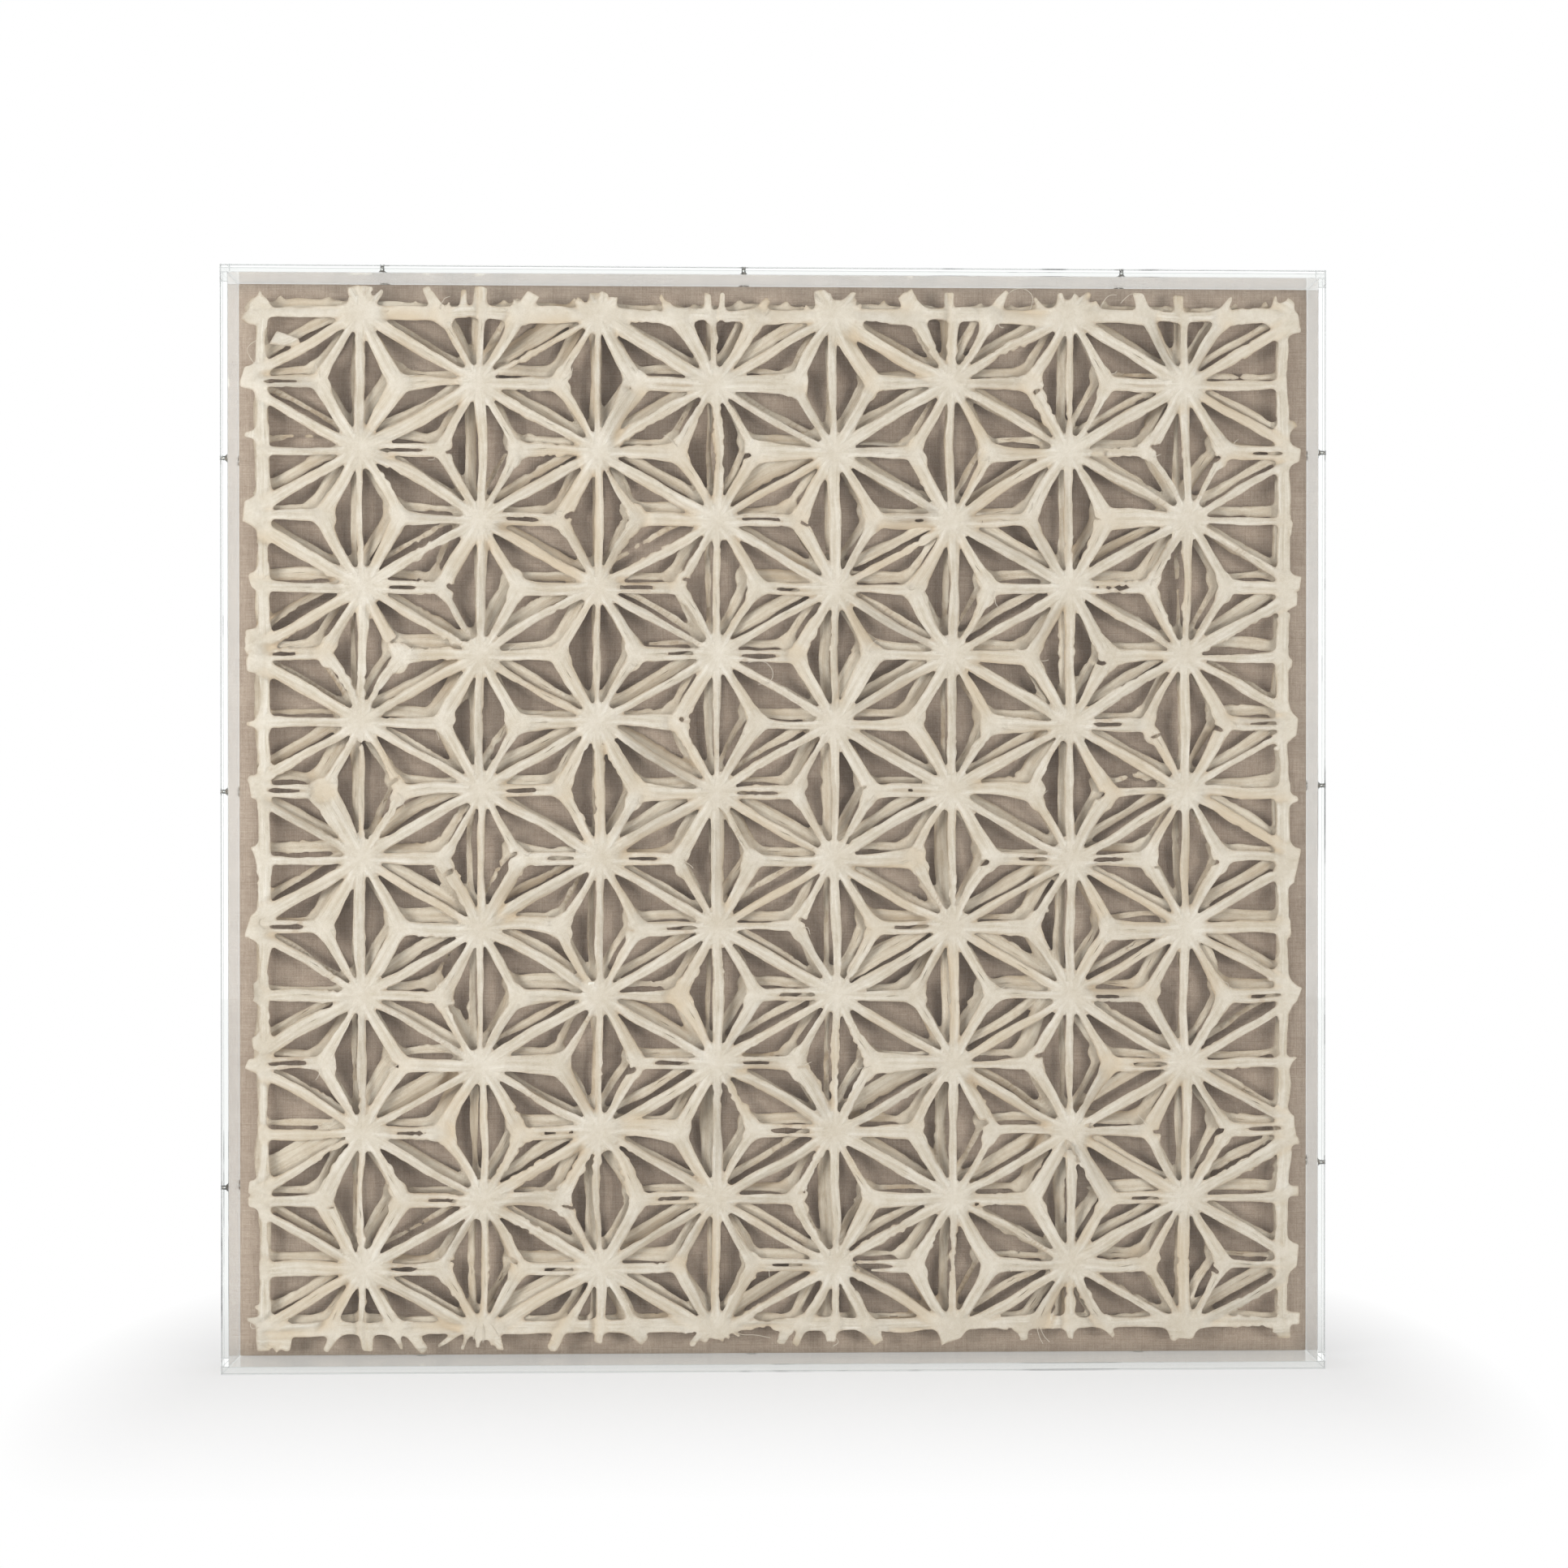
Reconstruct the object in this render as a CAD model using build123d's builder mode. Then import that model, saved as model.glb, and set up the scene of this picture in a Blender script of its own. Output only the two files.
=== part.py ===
"""Framed paper wall art: a two-layer openwork of handmade paper, cut in the hemp-leaf star pattern,
held over a linen-covered board inside a shallow box of clear acrylic sheet.

Millimetres, +Z up. The front faces -Y. The origin is under the middle of the box, at its lowest face."""

from build123d import *
from math import cos, dist, radians, sin, sqrt, tan
import os

os.makedirs("parts", exist_ok=True)

# Clear box: outside size, sheet thickness, and how far its walls reach past the linen at the back
box_width = 800.0
box_height = 800.0
box_depth = 70.0
acrylic = 5.0
back_recess = 2.4

# Board behind the paper and the linen wrapped round it
board_thickness = 9.0
linen_thickness = 0.8
linen_turn_in = 28.0
board_clearance = 0.3

# Screws through the walls into the board's edges
screw_shank_radius = 1.5
screw_head_radius = 3.9
screw_length = 20.0
screw_clearance = 0.15
countersink_angle = 82.0
drill_sides = 8

# Where each wall was drilled: from its left or lower end, from its middle, and from its other end
top_drilling = (112.0, -23.5, 145.0)
bottom_drilling = (138.0, -18.0, 130.0)
left_drilling = (131.0, 21.0, 135.0)
right_drilling = (147.0, 26.0, 128.0)

# Paper: two sheets of one pattern, the rear one set up and a little to the left
paper_thickness = 0.8
front_paper_height = 16.0
rear_paper_height = 8.0
rear_shift_left = 4.0
rear_shift_up = 8.0
sheet_margin = 6.6

# Star pattern: hub to hub, solid paper round each hub and each three-armed node
star_pitch = 100.0
hub_radius = 14.0
node_radius = 5.5
pattern_drop = 3.7
smallest_opening = 90.0
rear_arm_width = 9.0

# Straight strip round the pattern, and the cut ends that stand out past it
strip_width = 8.0
side_strip_inset = 20.3
end_strip_inset = 23.3
stub_width = 6.0
steepest_stub = 0.85

# Foam pads that hold the sheets off the linen and off each other
pad_size = 12.0
pad_every = 2

# Keyhole hangers on the back of the board
hanger_length = 46.0
hanger_width = 18.0
hanger_thickness = 1.5
hanger_inset = 114.0
hanger_drop = 84.0
keyhole_radius = 5.0
keyhole_slot_radius = 2.5
keyhole_slot_length = 11.0
hanger_pocket_depth = 6.0
hanger_pocket_margin = 1.5
hanger_screw_spacing = 36.0
hanger_screw_radius = 1.5
hanger_screw_head_radius = 2.8
hanger_screw_head_height = 1.4
hanger_screw_length = 8.0

# Soft square bumpers at the corners of the back
bumper_size = 12.0
bumper_height = 4.0
bumper_inset = 16.0

# Depths, counted from the outside of the front
linen_back = box_depth - back_recess
board_back = linen_back - linen_thickness
board_front = board_back - board_thickness
linen_front = board_front - linen_thickness
screw_depth = (board_front + board_back) / 2
overall_depth = max(box_depth, linen_back + bumper_height)
front_y = -overall_depth / 2

# Sizes of what stands inside the walls
inside_width = box_width - 2 * acrylic
inside_height = box_height - 2 * acrylic
wall_depth = box_depth - acrylic
linen_width = inside_width - 2 * board_clearance
linen_height = inside_height - 2 * board_clearance
board_width = linen_width - 2 * linen_thickness
board_height = linen_height - 2 * linen_thickness
middle_z = box_height / 2


def facing_front(depth, x=0.0, z=middle_z):
    """A plane at this depth behind the front, seen from the front: its X is the box's X, its Y is up."""
    return Plane(origin=(x, front_y + depth, z), x_dir=(1, 0, 0), z_dir=(0, -1, 0))


def facing_back(depth, x=0.0, z=middle_z):
    """A plane at this depth that looks out of the back, with its Y up."""
    return Plane(origin=(x, front_y + depth, z), x_dir=(-1, 0, 0), z_dir=(0, 1, 0))


def side_plane(x, z, along, outward):
    """The outside of one wall at the screws' depth, with its X along the wall."""
    return Plane(origin=(x, front_y + screw_depth, z), x_dir=along, z_dir=outward)


def places(length, drilling):
    """The screws' places along a wall, from its middle."""
    first, middle, last = drilling
    return [(first - length / 2, 0), (middle, 0), (length / 2 - last, 0)]


# Small screws and their holes have eight flats, which are as far from the axis as the real round wall is
head_depth = (screw_head_radius - screw_shank_radius) / tan(radians(countersink_angle / 2))
half_width = box_width / 2
sides = {
    "top": (side_plane(0, box_height, (1, 0, 0), (0, 0, 1)), places(box_width, top_drilling)),
    "bottom": (side_plane(0, 0, (1, 0, 0), (0, 0, -1)), places(box_width, bottom_drilling)),
    "left": (side_plane(-half_width, middle_z, (0, 0, 1), (-1, 0, 0)), places(box_height, left_drilling)),
    "right": (side_plane(half_width, middle_z, (0, 0, 1), (1, 0, 0)), places(box_height, right_drilling)),
}

# Front sheet of the box, over the ends of all four walls
with BuildPart() as front_panel:
    with BuildSketch(facing_front(acrylic)):
        Rectangle(box_width, box_height)
    extrude(amount=acrylic)
front_panel.part.label = "front_panel"
export_step(front_panel.part, "parts/front_panel.step")

# Walls: the top and bottom run the full width, and the sides stand between them
wall_sizes = {
    "top": (box_width, acrylic, 0, middle_z + (box_height - acrylic) / 2),
    "bottom": (box_width, acrylic, 0, middle_z - (box_height - acrylic) / 2),
    "left": (acrylic, inside_height, -(box_width - acrylic) / 2, middle_z),
    "right": (acrylic, inside_height, (box_width - acrylic) / 2, middle_z),
}
for side, (width, height, x, z) in wall_sizes.items():
    plane, drilled = sides[side]
    with BuildPart() as wall:
        with BuildSketch(facing_front(box_depth, x, z)):
            Rectangle(width, height)
        extrude(amount=wall_depth)
        with BuildSketch(plane):
            with Locations(*drilled):
                RegularPolygon(screw_head_radius + screw_clearance, drill_sides, major_radius=False)
        extrude(amount=-head_depth, taper=countersink_angle / 2, mode=Mode.SUBTRACT)
        with BuildSketch(plane):
            with Locations(*drilled):
                RegularPolygon(screw_shank_radius + screw_clearance, drill_sides, major_radius=False)
        extrude(amount=-acrylic, mode=Mode.SUBTRACT)
    wall.part.label = side + "_wall"
    export_step(wall.part, "parts/" + side + "_wall.step")

# Flat-head screws, three to a wall, flush with its outside
for side, (plane, drilled) in sides.items():
    with BuildPart() as screws:
        with BuildSketch(plane):
            with Locations(*drilled):
                RegularPolygon(screw_head_radius, drill_sides, major_radius=False)
        extrude(amount=-head_depth, taper=countersink_angle / 2)
        with BuildSketch(plane):
            with Locations(*drilled):
                RegularPolygon(screw_shank_radius, drill_sides, major_radius=False)
        extrude(amount=-screw_length)
    screws.part.label = side + "_screws"
    export_step(screws.part, "parts/" + side + "_screws.step")

# Board, with pilot holes in its edges and pockets behind the hangers
hanger_z = middle_z + board_height / 2 - hanger_drop
hanger_places = {"left": hanger_inset - board_width / 2, "right": board_width / 2 - hanger_inset}
pilot_depth = screw_length + 1.0
with BuildPart() as backing_board:
    with BuildSketch(facing_front(board_back)):
        Rectangle(board_width, board_height)
    extrude(amount=board_thickness)
    for plane, drilled in sides.values():
        with BuildSketch(plane):
            with Locations(*drilled):
                RegularPolygon(screw_shank_radius + screw_clearance, drill_sides, major_radius=False)
        extrude(amount=-pilot_depth, mode=Mode.SUBTRACT)
    for x in hanger_places.values():
        with BuildSketch(facing_back(board_back, x, hanger_z)):
            Rectangle(
                2 * (keyhole_radius + hanger_pocket_margin),
                keyhole_slot_length + 2 * (keyhole_radius + hanger_pocket_margin),
            )
        extrude(amount=-hanger_pocket_depth, mode=Mode.SUBTRACT)
        with BuildSketch(facing_back(board_back, x, hanger_z)):
            with GridLocations(0, hanger_screw_spacing, 1, 2):
                RegularPolygon(hanger_screw_radius + screw_clearance, drill_sides, major_radius=False)
        extrude(amount=-hanger_screw_length, mode=Mode.SUBTRACT)
backing_board.part.label = "backing_board"
export_step(backing_board.part, "parts/backing_board.step")

# Linen over the board's face and edges, turned in round the back
with BuildPart() as linen_cover:
    with BuildSketch(facing_front(linen_back)):
        Rectangle(linen_width, linen_height)
    extrude(amount=linen_back - linen_front)
    with BuildSketch(facing_front(board_back)):
        Rectangle(board_width, board_height)
    extrude(amount=board_thickness, mode=Mode.SUBTRACT)
    with BuildSketch(facing_back(board_back)):
        Rectangle(board_width - 2 * linen_turn_in, board_height - 2 * linen_turn_in)
    extrude(amount=linen_thickness, mode=Mode.SUBTRACT)
    for plane, drilled in sides.values():
        with BuildSketch(plane):
            with Locations(*drilled):
                RegularPolygon(screw_shank_radius + screw_clearance, drill_sides, major_radius=False)
        extrude(amount=-pilot_depth, mode=Mode.SUBTRACT)
linen_cover.part.label = "linen_cover"
export_step(linen_cover.part, "parts/linen_cover.step")

# Half sizes of the paper sheets, of the strip's centre line and of the field inside the strip
sheet_half_width = inside_width / 2 - sheet_margin
sheet_half_height = inside_height / 2 - sheet_margin
strip_half_width = inside_width / 2 - side_strip_inset
strip_half_height = inside_height / 2 - end_strip_inset
field_half_width = strip_half_width - strip_width / 2
field_half_height = strip_half_height - strip_width / 2
column_pitch = star_pitch * sqrt(3) / 2


def toward(start, angle, distance):
    """The point at a distance from start, in the direction of an angle in degrees."""
    return (start[0] + distance * cos(radians(angle)), start[1] + distance * sin(radians(angle)))


def clipped(points, axis, limit, sign):
    """The part of a convex outline where sign times its coordinate on axis is below limit."""
    kept = []
    for (here, after) in zip(points, points[1:] + points[:1]):
        room_here = limit - sign * here[axis]
        room_after = limit - sign * after[axis]
        if room_here >= 0:
            kept.append(here)
        if room_here * room_after < 0:
            share = room_here / (room_here - room_after)
            kept.append(tuple(a + share * (b - a) for a, b in zip(here, after)))
    return kept


def inside_strip(points):
    """An outline cut off where the strip runs."""
    for axis, limit in ((0, field_half_width), (1, field_half_height)):
        for sign in (1, -1):
            points = clipped(points, axis, limit, sign) if points else points
    return points


def area(points):
    """The area inside an outline."""
    turns = zip(points, points[1:] + points[:1])
    return abs(sum(a[0] * b[1] - b[0] * a[1] for a, b in turns)) / 2


def hub_places():
    """Centres of the stars: columns that take turns at being half a pitch higher."""
    columns = 2 * int(strip_half_width / column_pitch + 1.5)
    rows = int(strip_half_height / star_pitch) + 2
    for column in range(columns):
        x = (column - (columns - 1) / 2) * column_pitch
        raised = star_pitch / 2 if (column - columns // 2) % 2 else 0.0
        for row in range(-rows, rows + 1):
            yield (x, row * star_pitch + raised - star_pitch / 4 - pattern_drop)


def star_cells():
    """The triangles between neighbouring hubs, as their three hubs and the angle of the first edge."""
    for hub in hub_places():
        for angle in (-30, 30):
            yield [hub, toward(hub, angle, star_pitch), toward(hub, angle + 60, star_pitch)], angle


def middle_of(corners):
    """The middle of a cell, where its three short arms meet."""
    return tuple(sum(corner[k] for corner in corners) / 3 for k in (0, 1))


def kept_openings(outlines):
    """The outlines cut off at the strip, without those too small to cut."""
    cut = [inside_strip(outline) for outline in outlines]
    return [outline for outline in cut if len(outline) > 2 and area(outline) > smallest_opening]


def star_openings():
    """The front sheet's openings, three to a cell. In a cell whose two outer hubs lie past the side strip,
    one straight arm runs to the strip, with an opening above it and one below."""
    outlines = []
    for corners, angle in star_cells():
        inner = [corner for corner in corners if abs(corner[0]) < strip_half_width]
        if len(inner) == 1:
            straight = 0 if inner[0][0] > 0 else 180
            for lean in (30, -30):
                tip = toward(inner[0], straight + lean / 2, hub_radius)
                above = toward(tip, straight + lean, star_pitch)
                outlines.append([tip, toward(tip, straight, star_pitch), above])
        elif inner:
            for first in range(3):
                edge = angle + 120 * first
                start = toward(corners[first], edge + 15, hub_radius)
                end = toward(corners[(first + 1) % 3], edge + 165, hub_radius)
                outlines.append([start, end, toward(middle_of(corners), edge - 90, node_radius)])
    return kept_openings(outlines)


def cell_openings():
    """The rear sheet's openings, one to a cell, between the long arms from hub to hub."""
    outlines = []
    for corners, angle in star_cells():
        turns = (angle + 30, angle + 150, angle + 270)
        outlines.append([toward(c, turn, rear_arm_width) for c, turn in zip(corners, turns)])
    return kept_openings(outlines)


def arms():
    """Both ends of each arm: long ones from hub to hub, and short ones from hub to middle of cell."""
    for corners, _ in star_cells():
        for first in range(3):
            yield corners[first], corners[(first + 1) % 3]
            yield corners[first], middle_of(corners)


def stub_outlines():
    """The cut ends of the arms that cross the strip, out to the edge of the sheet."""
    strip_half = (strip_half_width, strip_half_height)
    sheet_half = (sheet_half_width, sheet_half_height)
    roots = {}
    for start, end in arms():
        for axis in (0, 1):
            inner, outer = sorted((start, end), key=lambda point: abs(point[axis]))
            if not abs(inner[axis]) < strip_half[axis] < abs(outer[axis]):
                continue
            run = dist(inner, outer)
            step = ((outer[0] - inner[0]) / run, (outer[1] - inner[1]) / run)
            if abs(step[axis]) < steepest_stub:
                continue
            gone = (strip_half[axis] - abs(inner[axis])) / abs(step[axis])
            root = (inner[0] + gone * step[0], inner[1] + gone * step[1])
            if abs(root[1 - axis]) > strip_half[1 - axis]:
                continue
            length = (sheet_half[axis] - strip_half[axis]) / abs(step[axis])
            roots[tuple(round(k, 1) for k in root)] = (root, step, length)
    for root, step, length in roots.values():
        tip = (root[0] + length * step[0], root[1] + length * step[1])
        aside = (-step[1] * stub_width / 2, step[0] * stub_width / 2)
        yield [
            (root[0] + aside[0], root[1] + aside[1]),
            (root[0] - aside[0], root[1] - aside[1]),
            (tip[0] - aside[0], tip[1] - aside[1]),
            (tip[0] + aside[0], tip[1] + aside[1]),
        ]


def faces_of(outlines):
    """A flat face inside each outline."""
    return [Face(Wire.make_polygon([Vector(*point) for point in outline])) for outline in outlines]


# Front sheet: the whole star pattern, its strip, and the arms' cut ends, trimmed to one straight edge
with BuildPart() as front_paper:
    with BuildSketch(facing_front(linen_front - front_paper_height)):
        Rectangle(2 * strip_half_width + strip_width, 2 * strip_half_height + strip_width)
        add(faces_of(stub_outlines()))
        Rectangle(2 * sheet_half_width, 2 * sheet_half_height, mode=Mode.INTERSECT)
        add(faces_of(star_openings()), mode=Mode.SUBTRACT)
    extrude(amount=paper_thickness)
front_paper.part.label = "front_paper"
export_step(front_paper.part, "parts/front_paper.step")

# Rear sheet: the same hubs and long arms, moved up and a little to the left
with BuildPart() as rear_paper:
    with BuildSketch(facing_front(linen_front - rear_paper_height, -rear_shift_left, middle_z + rear_shift_up)):
        Rectangle(2 * strip_half_width + strip_width, 2 * strip_half_height + strip_width)
        add(faces_of(cell_openings()), mode=Mode.SUBTRACT)
    extrude(amount=paper_thickness)
rear_paper.part.label = "rear_paper"
export_step(rear_paper.part, "parts/rear_paper.step")

# Foam pads behind the hubs: one layer on the linen, the other between the two sheets
padded_hubs = [
    hub for hub in hub_places()
    if abs(hub[0]) < field_half_width - hub_radius and abs(hub[1]) < field_half_height - hub_radius
    and int(hub[0] // column_pitch) % pad_every == 0
]
front_pad_height = front_paper_height - rear_paper_height - paper_thickness
pads = {
    "rear_pads": (linen_front, rear_paper_height, 1.0),
    "front_pads": (linen_front - rear_paper_height - paper_thickness, front_pad_height, 0.5),
}
for name, (depth, height, share) in pads.items():
    with BuildPart() as layer_pads:
        with BuildSketch(facing_front(depth, -share * rear_shift_left, middle_z + share * rear_shift_up)):
            with Locations(*padded_hubs):
                Rectangle(pad_size, pad_size)
        extrude(amount=height)
    layer_pads.part.label = name
    export_step(layer_pads.part, "parts/" + name + ".step")

# Keyhole hangers: the screw in the wall enters the round hole and slides up into the slot
for side, x in hanger_places.items():
    with BuildPart() as hanger:
        with BuildSketch(facing_back(board_back, x, hanger_z)):
            Rectangle(hanger_width, hanger_length)
            with GridLocations(0, hanger_screw_spacing, 1, 2):
                RegularPolygon(
                    hanger_screw_radius + screw_clearance, drill_sides, major_radius=False, mode=Mode.SUBTRACT
                )
            with Locations((0, -keyhole_slot_length / 2)):
                Circle(keyhole_radius, mode=Mode.SUBTRACT)
            SlotCenterToCenter(keyhole_slot_length, 2 * keyhole_slot_radius, rotation=90, mode=Mode.SUBTRACT)
        extrude(amount=hanger_thickness)
    hanger.part.label = side + "_hanger"
    export_step(hanger.part, "parts/" + side + "_hanger.step")

# Pan-head screws of the hangers, two to each
with BuildPart() as hanger_screws:
    for x in hanger_places.values():
        with BuildSketch(facing_back(board_back + hanger_thickness, x, hanger_z)):
            with GridLocations(0, hanger_screw_spacing, 1, 2):
                RegularPolygon(hanger_screw_head_radius, drill_sides, major_radius=False)
        extrude(amount=hanger_screw_head_height)
        with BuildSketch(facing_back(board_back + hanger_thickness, x, hanger_z)):
            with GridLocations(0, hanger_screw_spacing, 1, 2):
                RegularPolygon(hanger_screw_radius, drill_sides, major_radius=False)
        extrude(amount=-hanger_screw_length)
hanger_screws.part.label = "hanger_screws"
export_step(hanger_screws.part, "parts/hanger_screws.step")

# Bumpers on the turned-in linen, which keep the walls' edges off the wall of the room
with BuildPart() as wall_bumpers:
    with BuildSketch(facing_back(linen_back)):
        with GridLocations(linen_width - 2 * bumper_inset, linen_height - 2 * bumper_inset, 2, 2):
            Rectangle(bumper_size, bumper_size)
    extrude(amount=bumper_height)
wall_bumpers.part.label = "wall_bumpers"
export_step(wall_bumpers.part, "parts/wall_bumpers.step")
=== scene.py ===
"""Looks of the framed paper wall art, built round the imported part.

Metres, in the part's own frame: +Z up, and the front faces -Y."""

from math import cos, dist, exp, pi, radians, sin, sqrt, tan

import bmesh
import bpy
import numpy as np
from mathutils import Matrix, Vector


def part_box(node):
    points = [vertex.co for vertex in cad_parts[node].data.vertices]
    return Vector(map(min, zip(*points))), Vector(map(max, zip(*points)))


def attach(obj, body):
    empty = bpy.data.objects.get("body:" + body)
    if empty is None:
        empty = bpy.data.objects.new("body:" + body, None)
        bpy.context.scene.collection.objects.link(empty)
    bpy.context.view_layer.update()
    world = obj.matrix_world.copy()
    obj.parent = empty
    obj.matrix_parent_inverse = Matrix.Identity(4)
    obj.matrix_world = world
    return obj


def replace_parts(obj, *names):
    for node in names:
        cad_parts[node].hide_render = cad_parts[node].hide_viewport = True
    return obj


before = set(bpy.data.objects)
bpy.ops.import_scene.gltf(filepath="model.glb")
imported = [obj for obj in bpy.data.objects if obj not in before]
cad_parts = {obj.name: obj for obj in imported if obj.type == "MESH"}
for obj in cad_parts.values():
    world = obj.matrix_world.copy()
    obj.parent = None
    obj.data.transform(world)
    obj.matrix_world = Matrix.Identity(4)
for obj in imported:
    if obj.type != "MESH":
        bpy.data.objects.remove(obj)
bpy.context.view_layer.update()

mm = 0.001
far = 1.0  # further than any place on the sheets, from their middle
luck = np.random.default_rng(1417)

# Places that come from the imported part
panel_low, panel_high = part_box("front_panel")
linen_low, linen_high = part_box("linen_cover")
board_low, board_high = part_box("backing_board")
front_low, front_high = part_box("front_paper")
rear_low, rear_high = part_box("rear_paper")
front_y = panel_low.y
acrylic = panel_high.y - panel_low.y
box_width = panel_high.x - panel_low.x
box_height = panel_high.z - panel_low.z
middle_z = (panel_low.z + panel_high.z) / 2
inside_width = box_width - 2 * acrylic
inside_height = box_height - 2 * acrylic
paper_thickness = front_high.y - front_low.y
front_sheet_y = (front_low.y + front_high.y) / 2
rear_sheet_y = (rear_low.y + rear_high.y) / 2

# How far the rear sheet's pattern is moved, as in the part's source, and its strip from there
rear_left = 4.8 * mm
rear_up = 7.8 * mm
rear_strip_right = 3.3 * mm
rear_strip_down = 4.5 * mm


class Value:
    """An output of a shader node. Sums, products and powers of values add Math nodes."""

    def __init__(self, finish, node, output=0):
        self.finish = finish
        self.node = node
        self.socket = node.outputs[output] if len(node.outputs) else None

    def out(self, output):
        return Value(self.finish, self.node, output)

    def math(self, operation, *numbers):
        return self.finish.add("Math", {"operation": operation}, dict(enumerate((self, *numbers))))

    def __add__(self, other):
        return self.math("ADD", other)

    def __mul__(self, other):
        return self.math("MULTIPLY", other)

    def __sub__(self, other):
        return self.math("SUBTRACT", other)

    def __rsub__(self, other):
        return self * -1 + other

    def __pow__(self, other):
        return self.math("POWER", other)

    def clamped(self):
        return self.finish.add("Clamp", {}, {"Value": self})

    __radd__ = __add__
    __rmul__ = __mul__


class Finish:
    """A material made of nodes, or the world's light where one is given."""

    def __init__(self, name, world=None):
        self.material = world or bpy.data.materials.new(name)
        self.material.use_nodes = True
        self.tree = self.material.node_tree
        self.tree.nodes.clear()

    def add(self, kind, settings=None, sockets=None):
        """A node of a kind, with its settings and the values or links of its sockets."""
        node = self.tree.nodes.new("ShaderNode" + kind)
        for name, setting in (settings or {}).items():
            setattr(node, name, setting)
        for name, given in (sockets or {}).items():
            if isinstance(given, Value):
                self.tree.links.new(given.socket, node.inputs[name])
            else:
                node.inputs[name].default_value = given
        return Value(self, node)

    def place(self):
        """The piece's own coordinates, in metres."""
        return self.add("TexCoord").out("Object")

    def noise(self, place, scale, detail, roughness, distortion=0.0):
        """Clouded noise from 0 to 1, with scale waves to a metre of the place."""
        sockets = {"Vector": place, "Scale": scale, "Detail": detail, "Roughness": roughness}
        return self.add("TexNoise", {}, {**sockets, "Distortion": distortion})

    def stretched(self, place, size, turn=(0.0, 0.0, 0.0)):
        """A place with its three axes multiplied."""
        return self.add("Mapping", {}, {"Vector": place, "Scale": size, "Rotation": turn})

    def streaks(self, place, scales, detail, roughness, distortion=0.0):
        """Noise with its own scale along each axis, in waves to a metre."""
        return self.noise(self.stretched(place, scales), 1.0, detail, roughness, distortion)

    def mix(self, factor, first, second):
        """A colour between two colours."""
        sockets = {"Factor": factor, 6: first, 7: second}
        return self.add("Mix", {"data_type": "RGBA"}, sockets).out(2)

    def bump(self, height, depth, strength):
        """A normal from a height between 0 and 1, depth metres deep."""
        return self.add("Bump", {}, {"Height": height, "Distance": depth, "Strength": strength})

    def between(self, share, first, second):
        """A shader between two shaders."""
        return self.add("MixShader", {}, {0: share, 1: first, 2: second})

    def clear(self, red, green, blue):
        """Lets light straight through, and tints it."""
        return self.add("BsdfTransparent", {}, {"Color": (red, green, blue, 1.0)})

    def gloss(self, roughness):
        """A plain reflection."""
        return self.add("BsdfGlossy", {}, {"Roughness": roughness, "Color": (1.0, 1.0, 1.0, 1.0)})

    def surface(self, shader):
        """Puts a shader on the material's output, and gives the material."""
        self.add("OutputMaterial", {}, {"Surface": shader})
        return self.material

    def painted(self, sockets):
        """Puts a Principled shader on the material's output, and gives the material."""
        return self.surface(self.add("BsdfPrincipled", {}, sockets))


def colour(red, green, blue):
    """A linear colour from the 0 to 255 numbers that a screen shows."""
    shares = [channel / 255 for channel in (red, green, blue)]
    return (*[s / 12.92 if s <= 0.04045 else ((s + 0.055) / 1.055) ** 2.4 for s in shares], 1.0)


# Paper: the brown painted as shade in its slits, and how deep its felt is. Linen: how far apart its threads
# are, and how far they wave.
slit_shade_brown = colour(122, 100, 77)
felt_depth = 0.6 * mm
thread_pitch = 1.1 * mm
thread_waviness = 0.9 * mm


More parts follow.
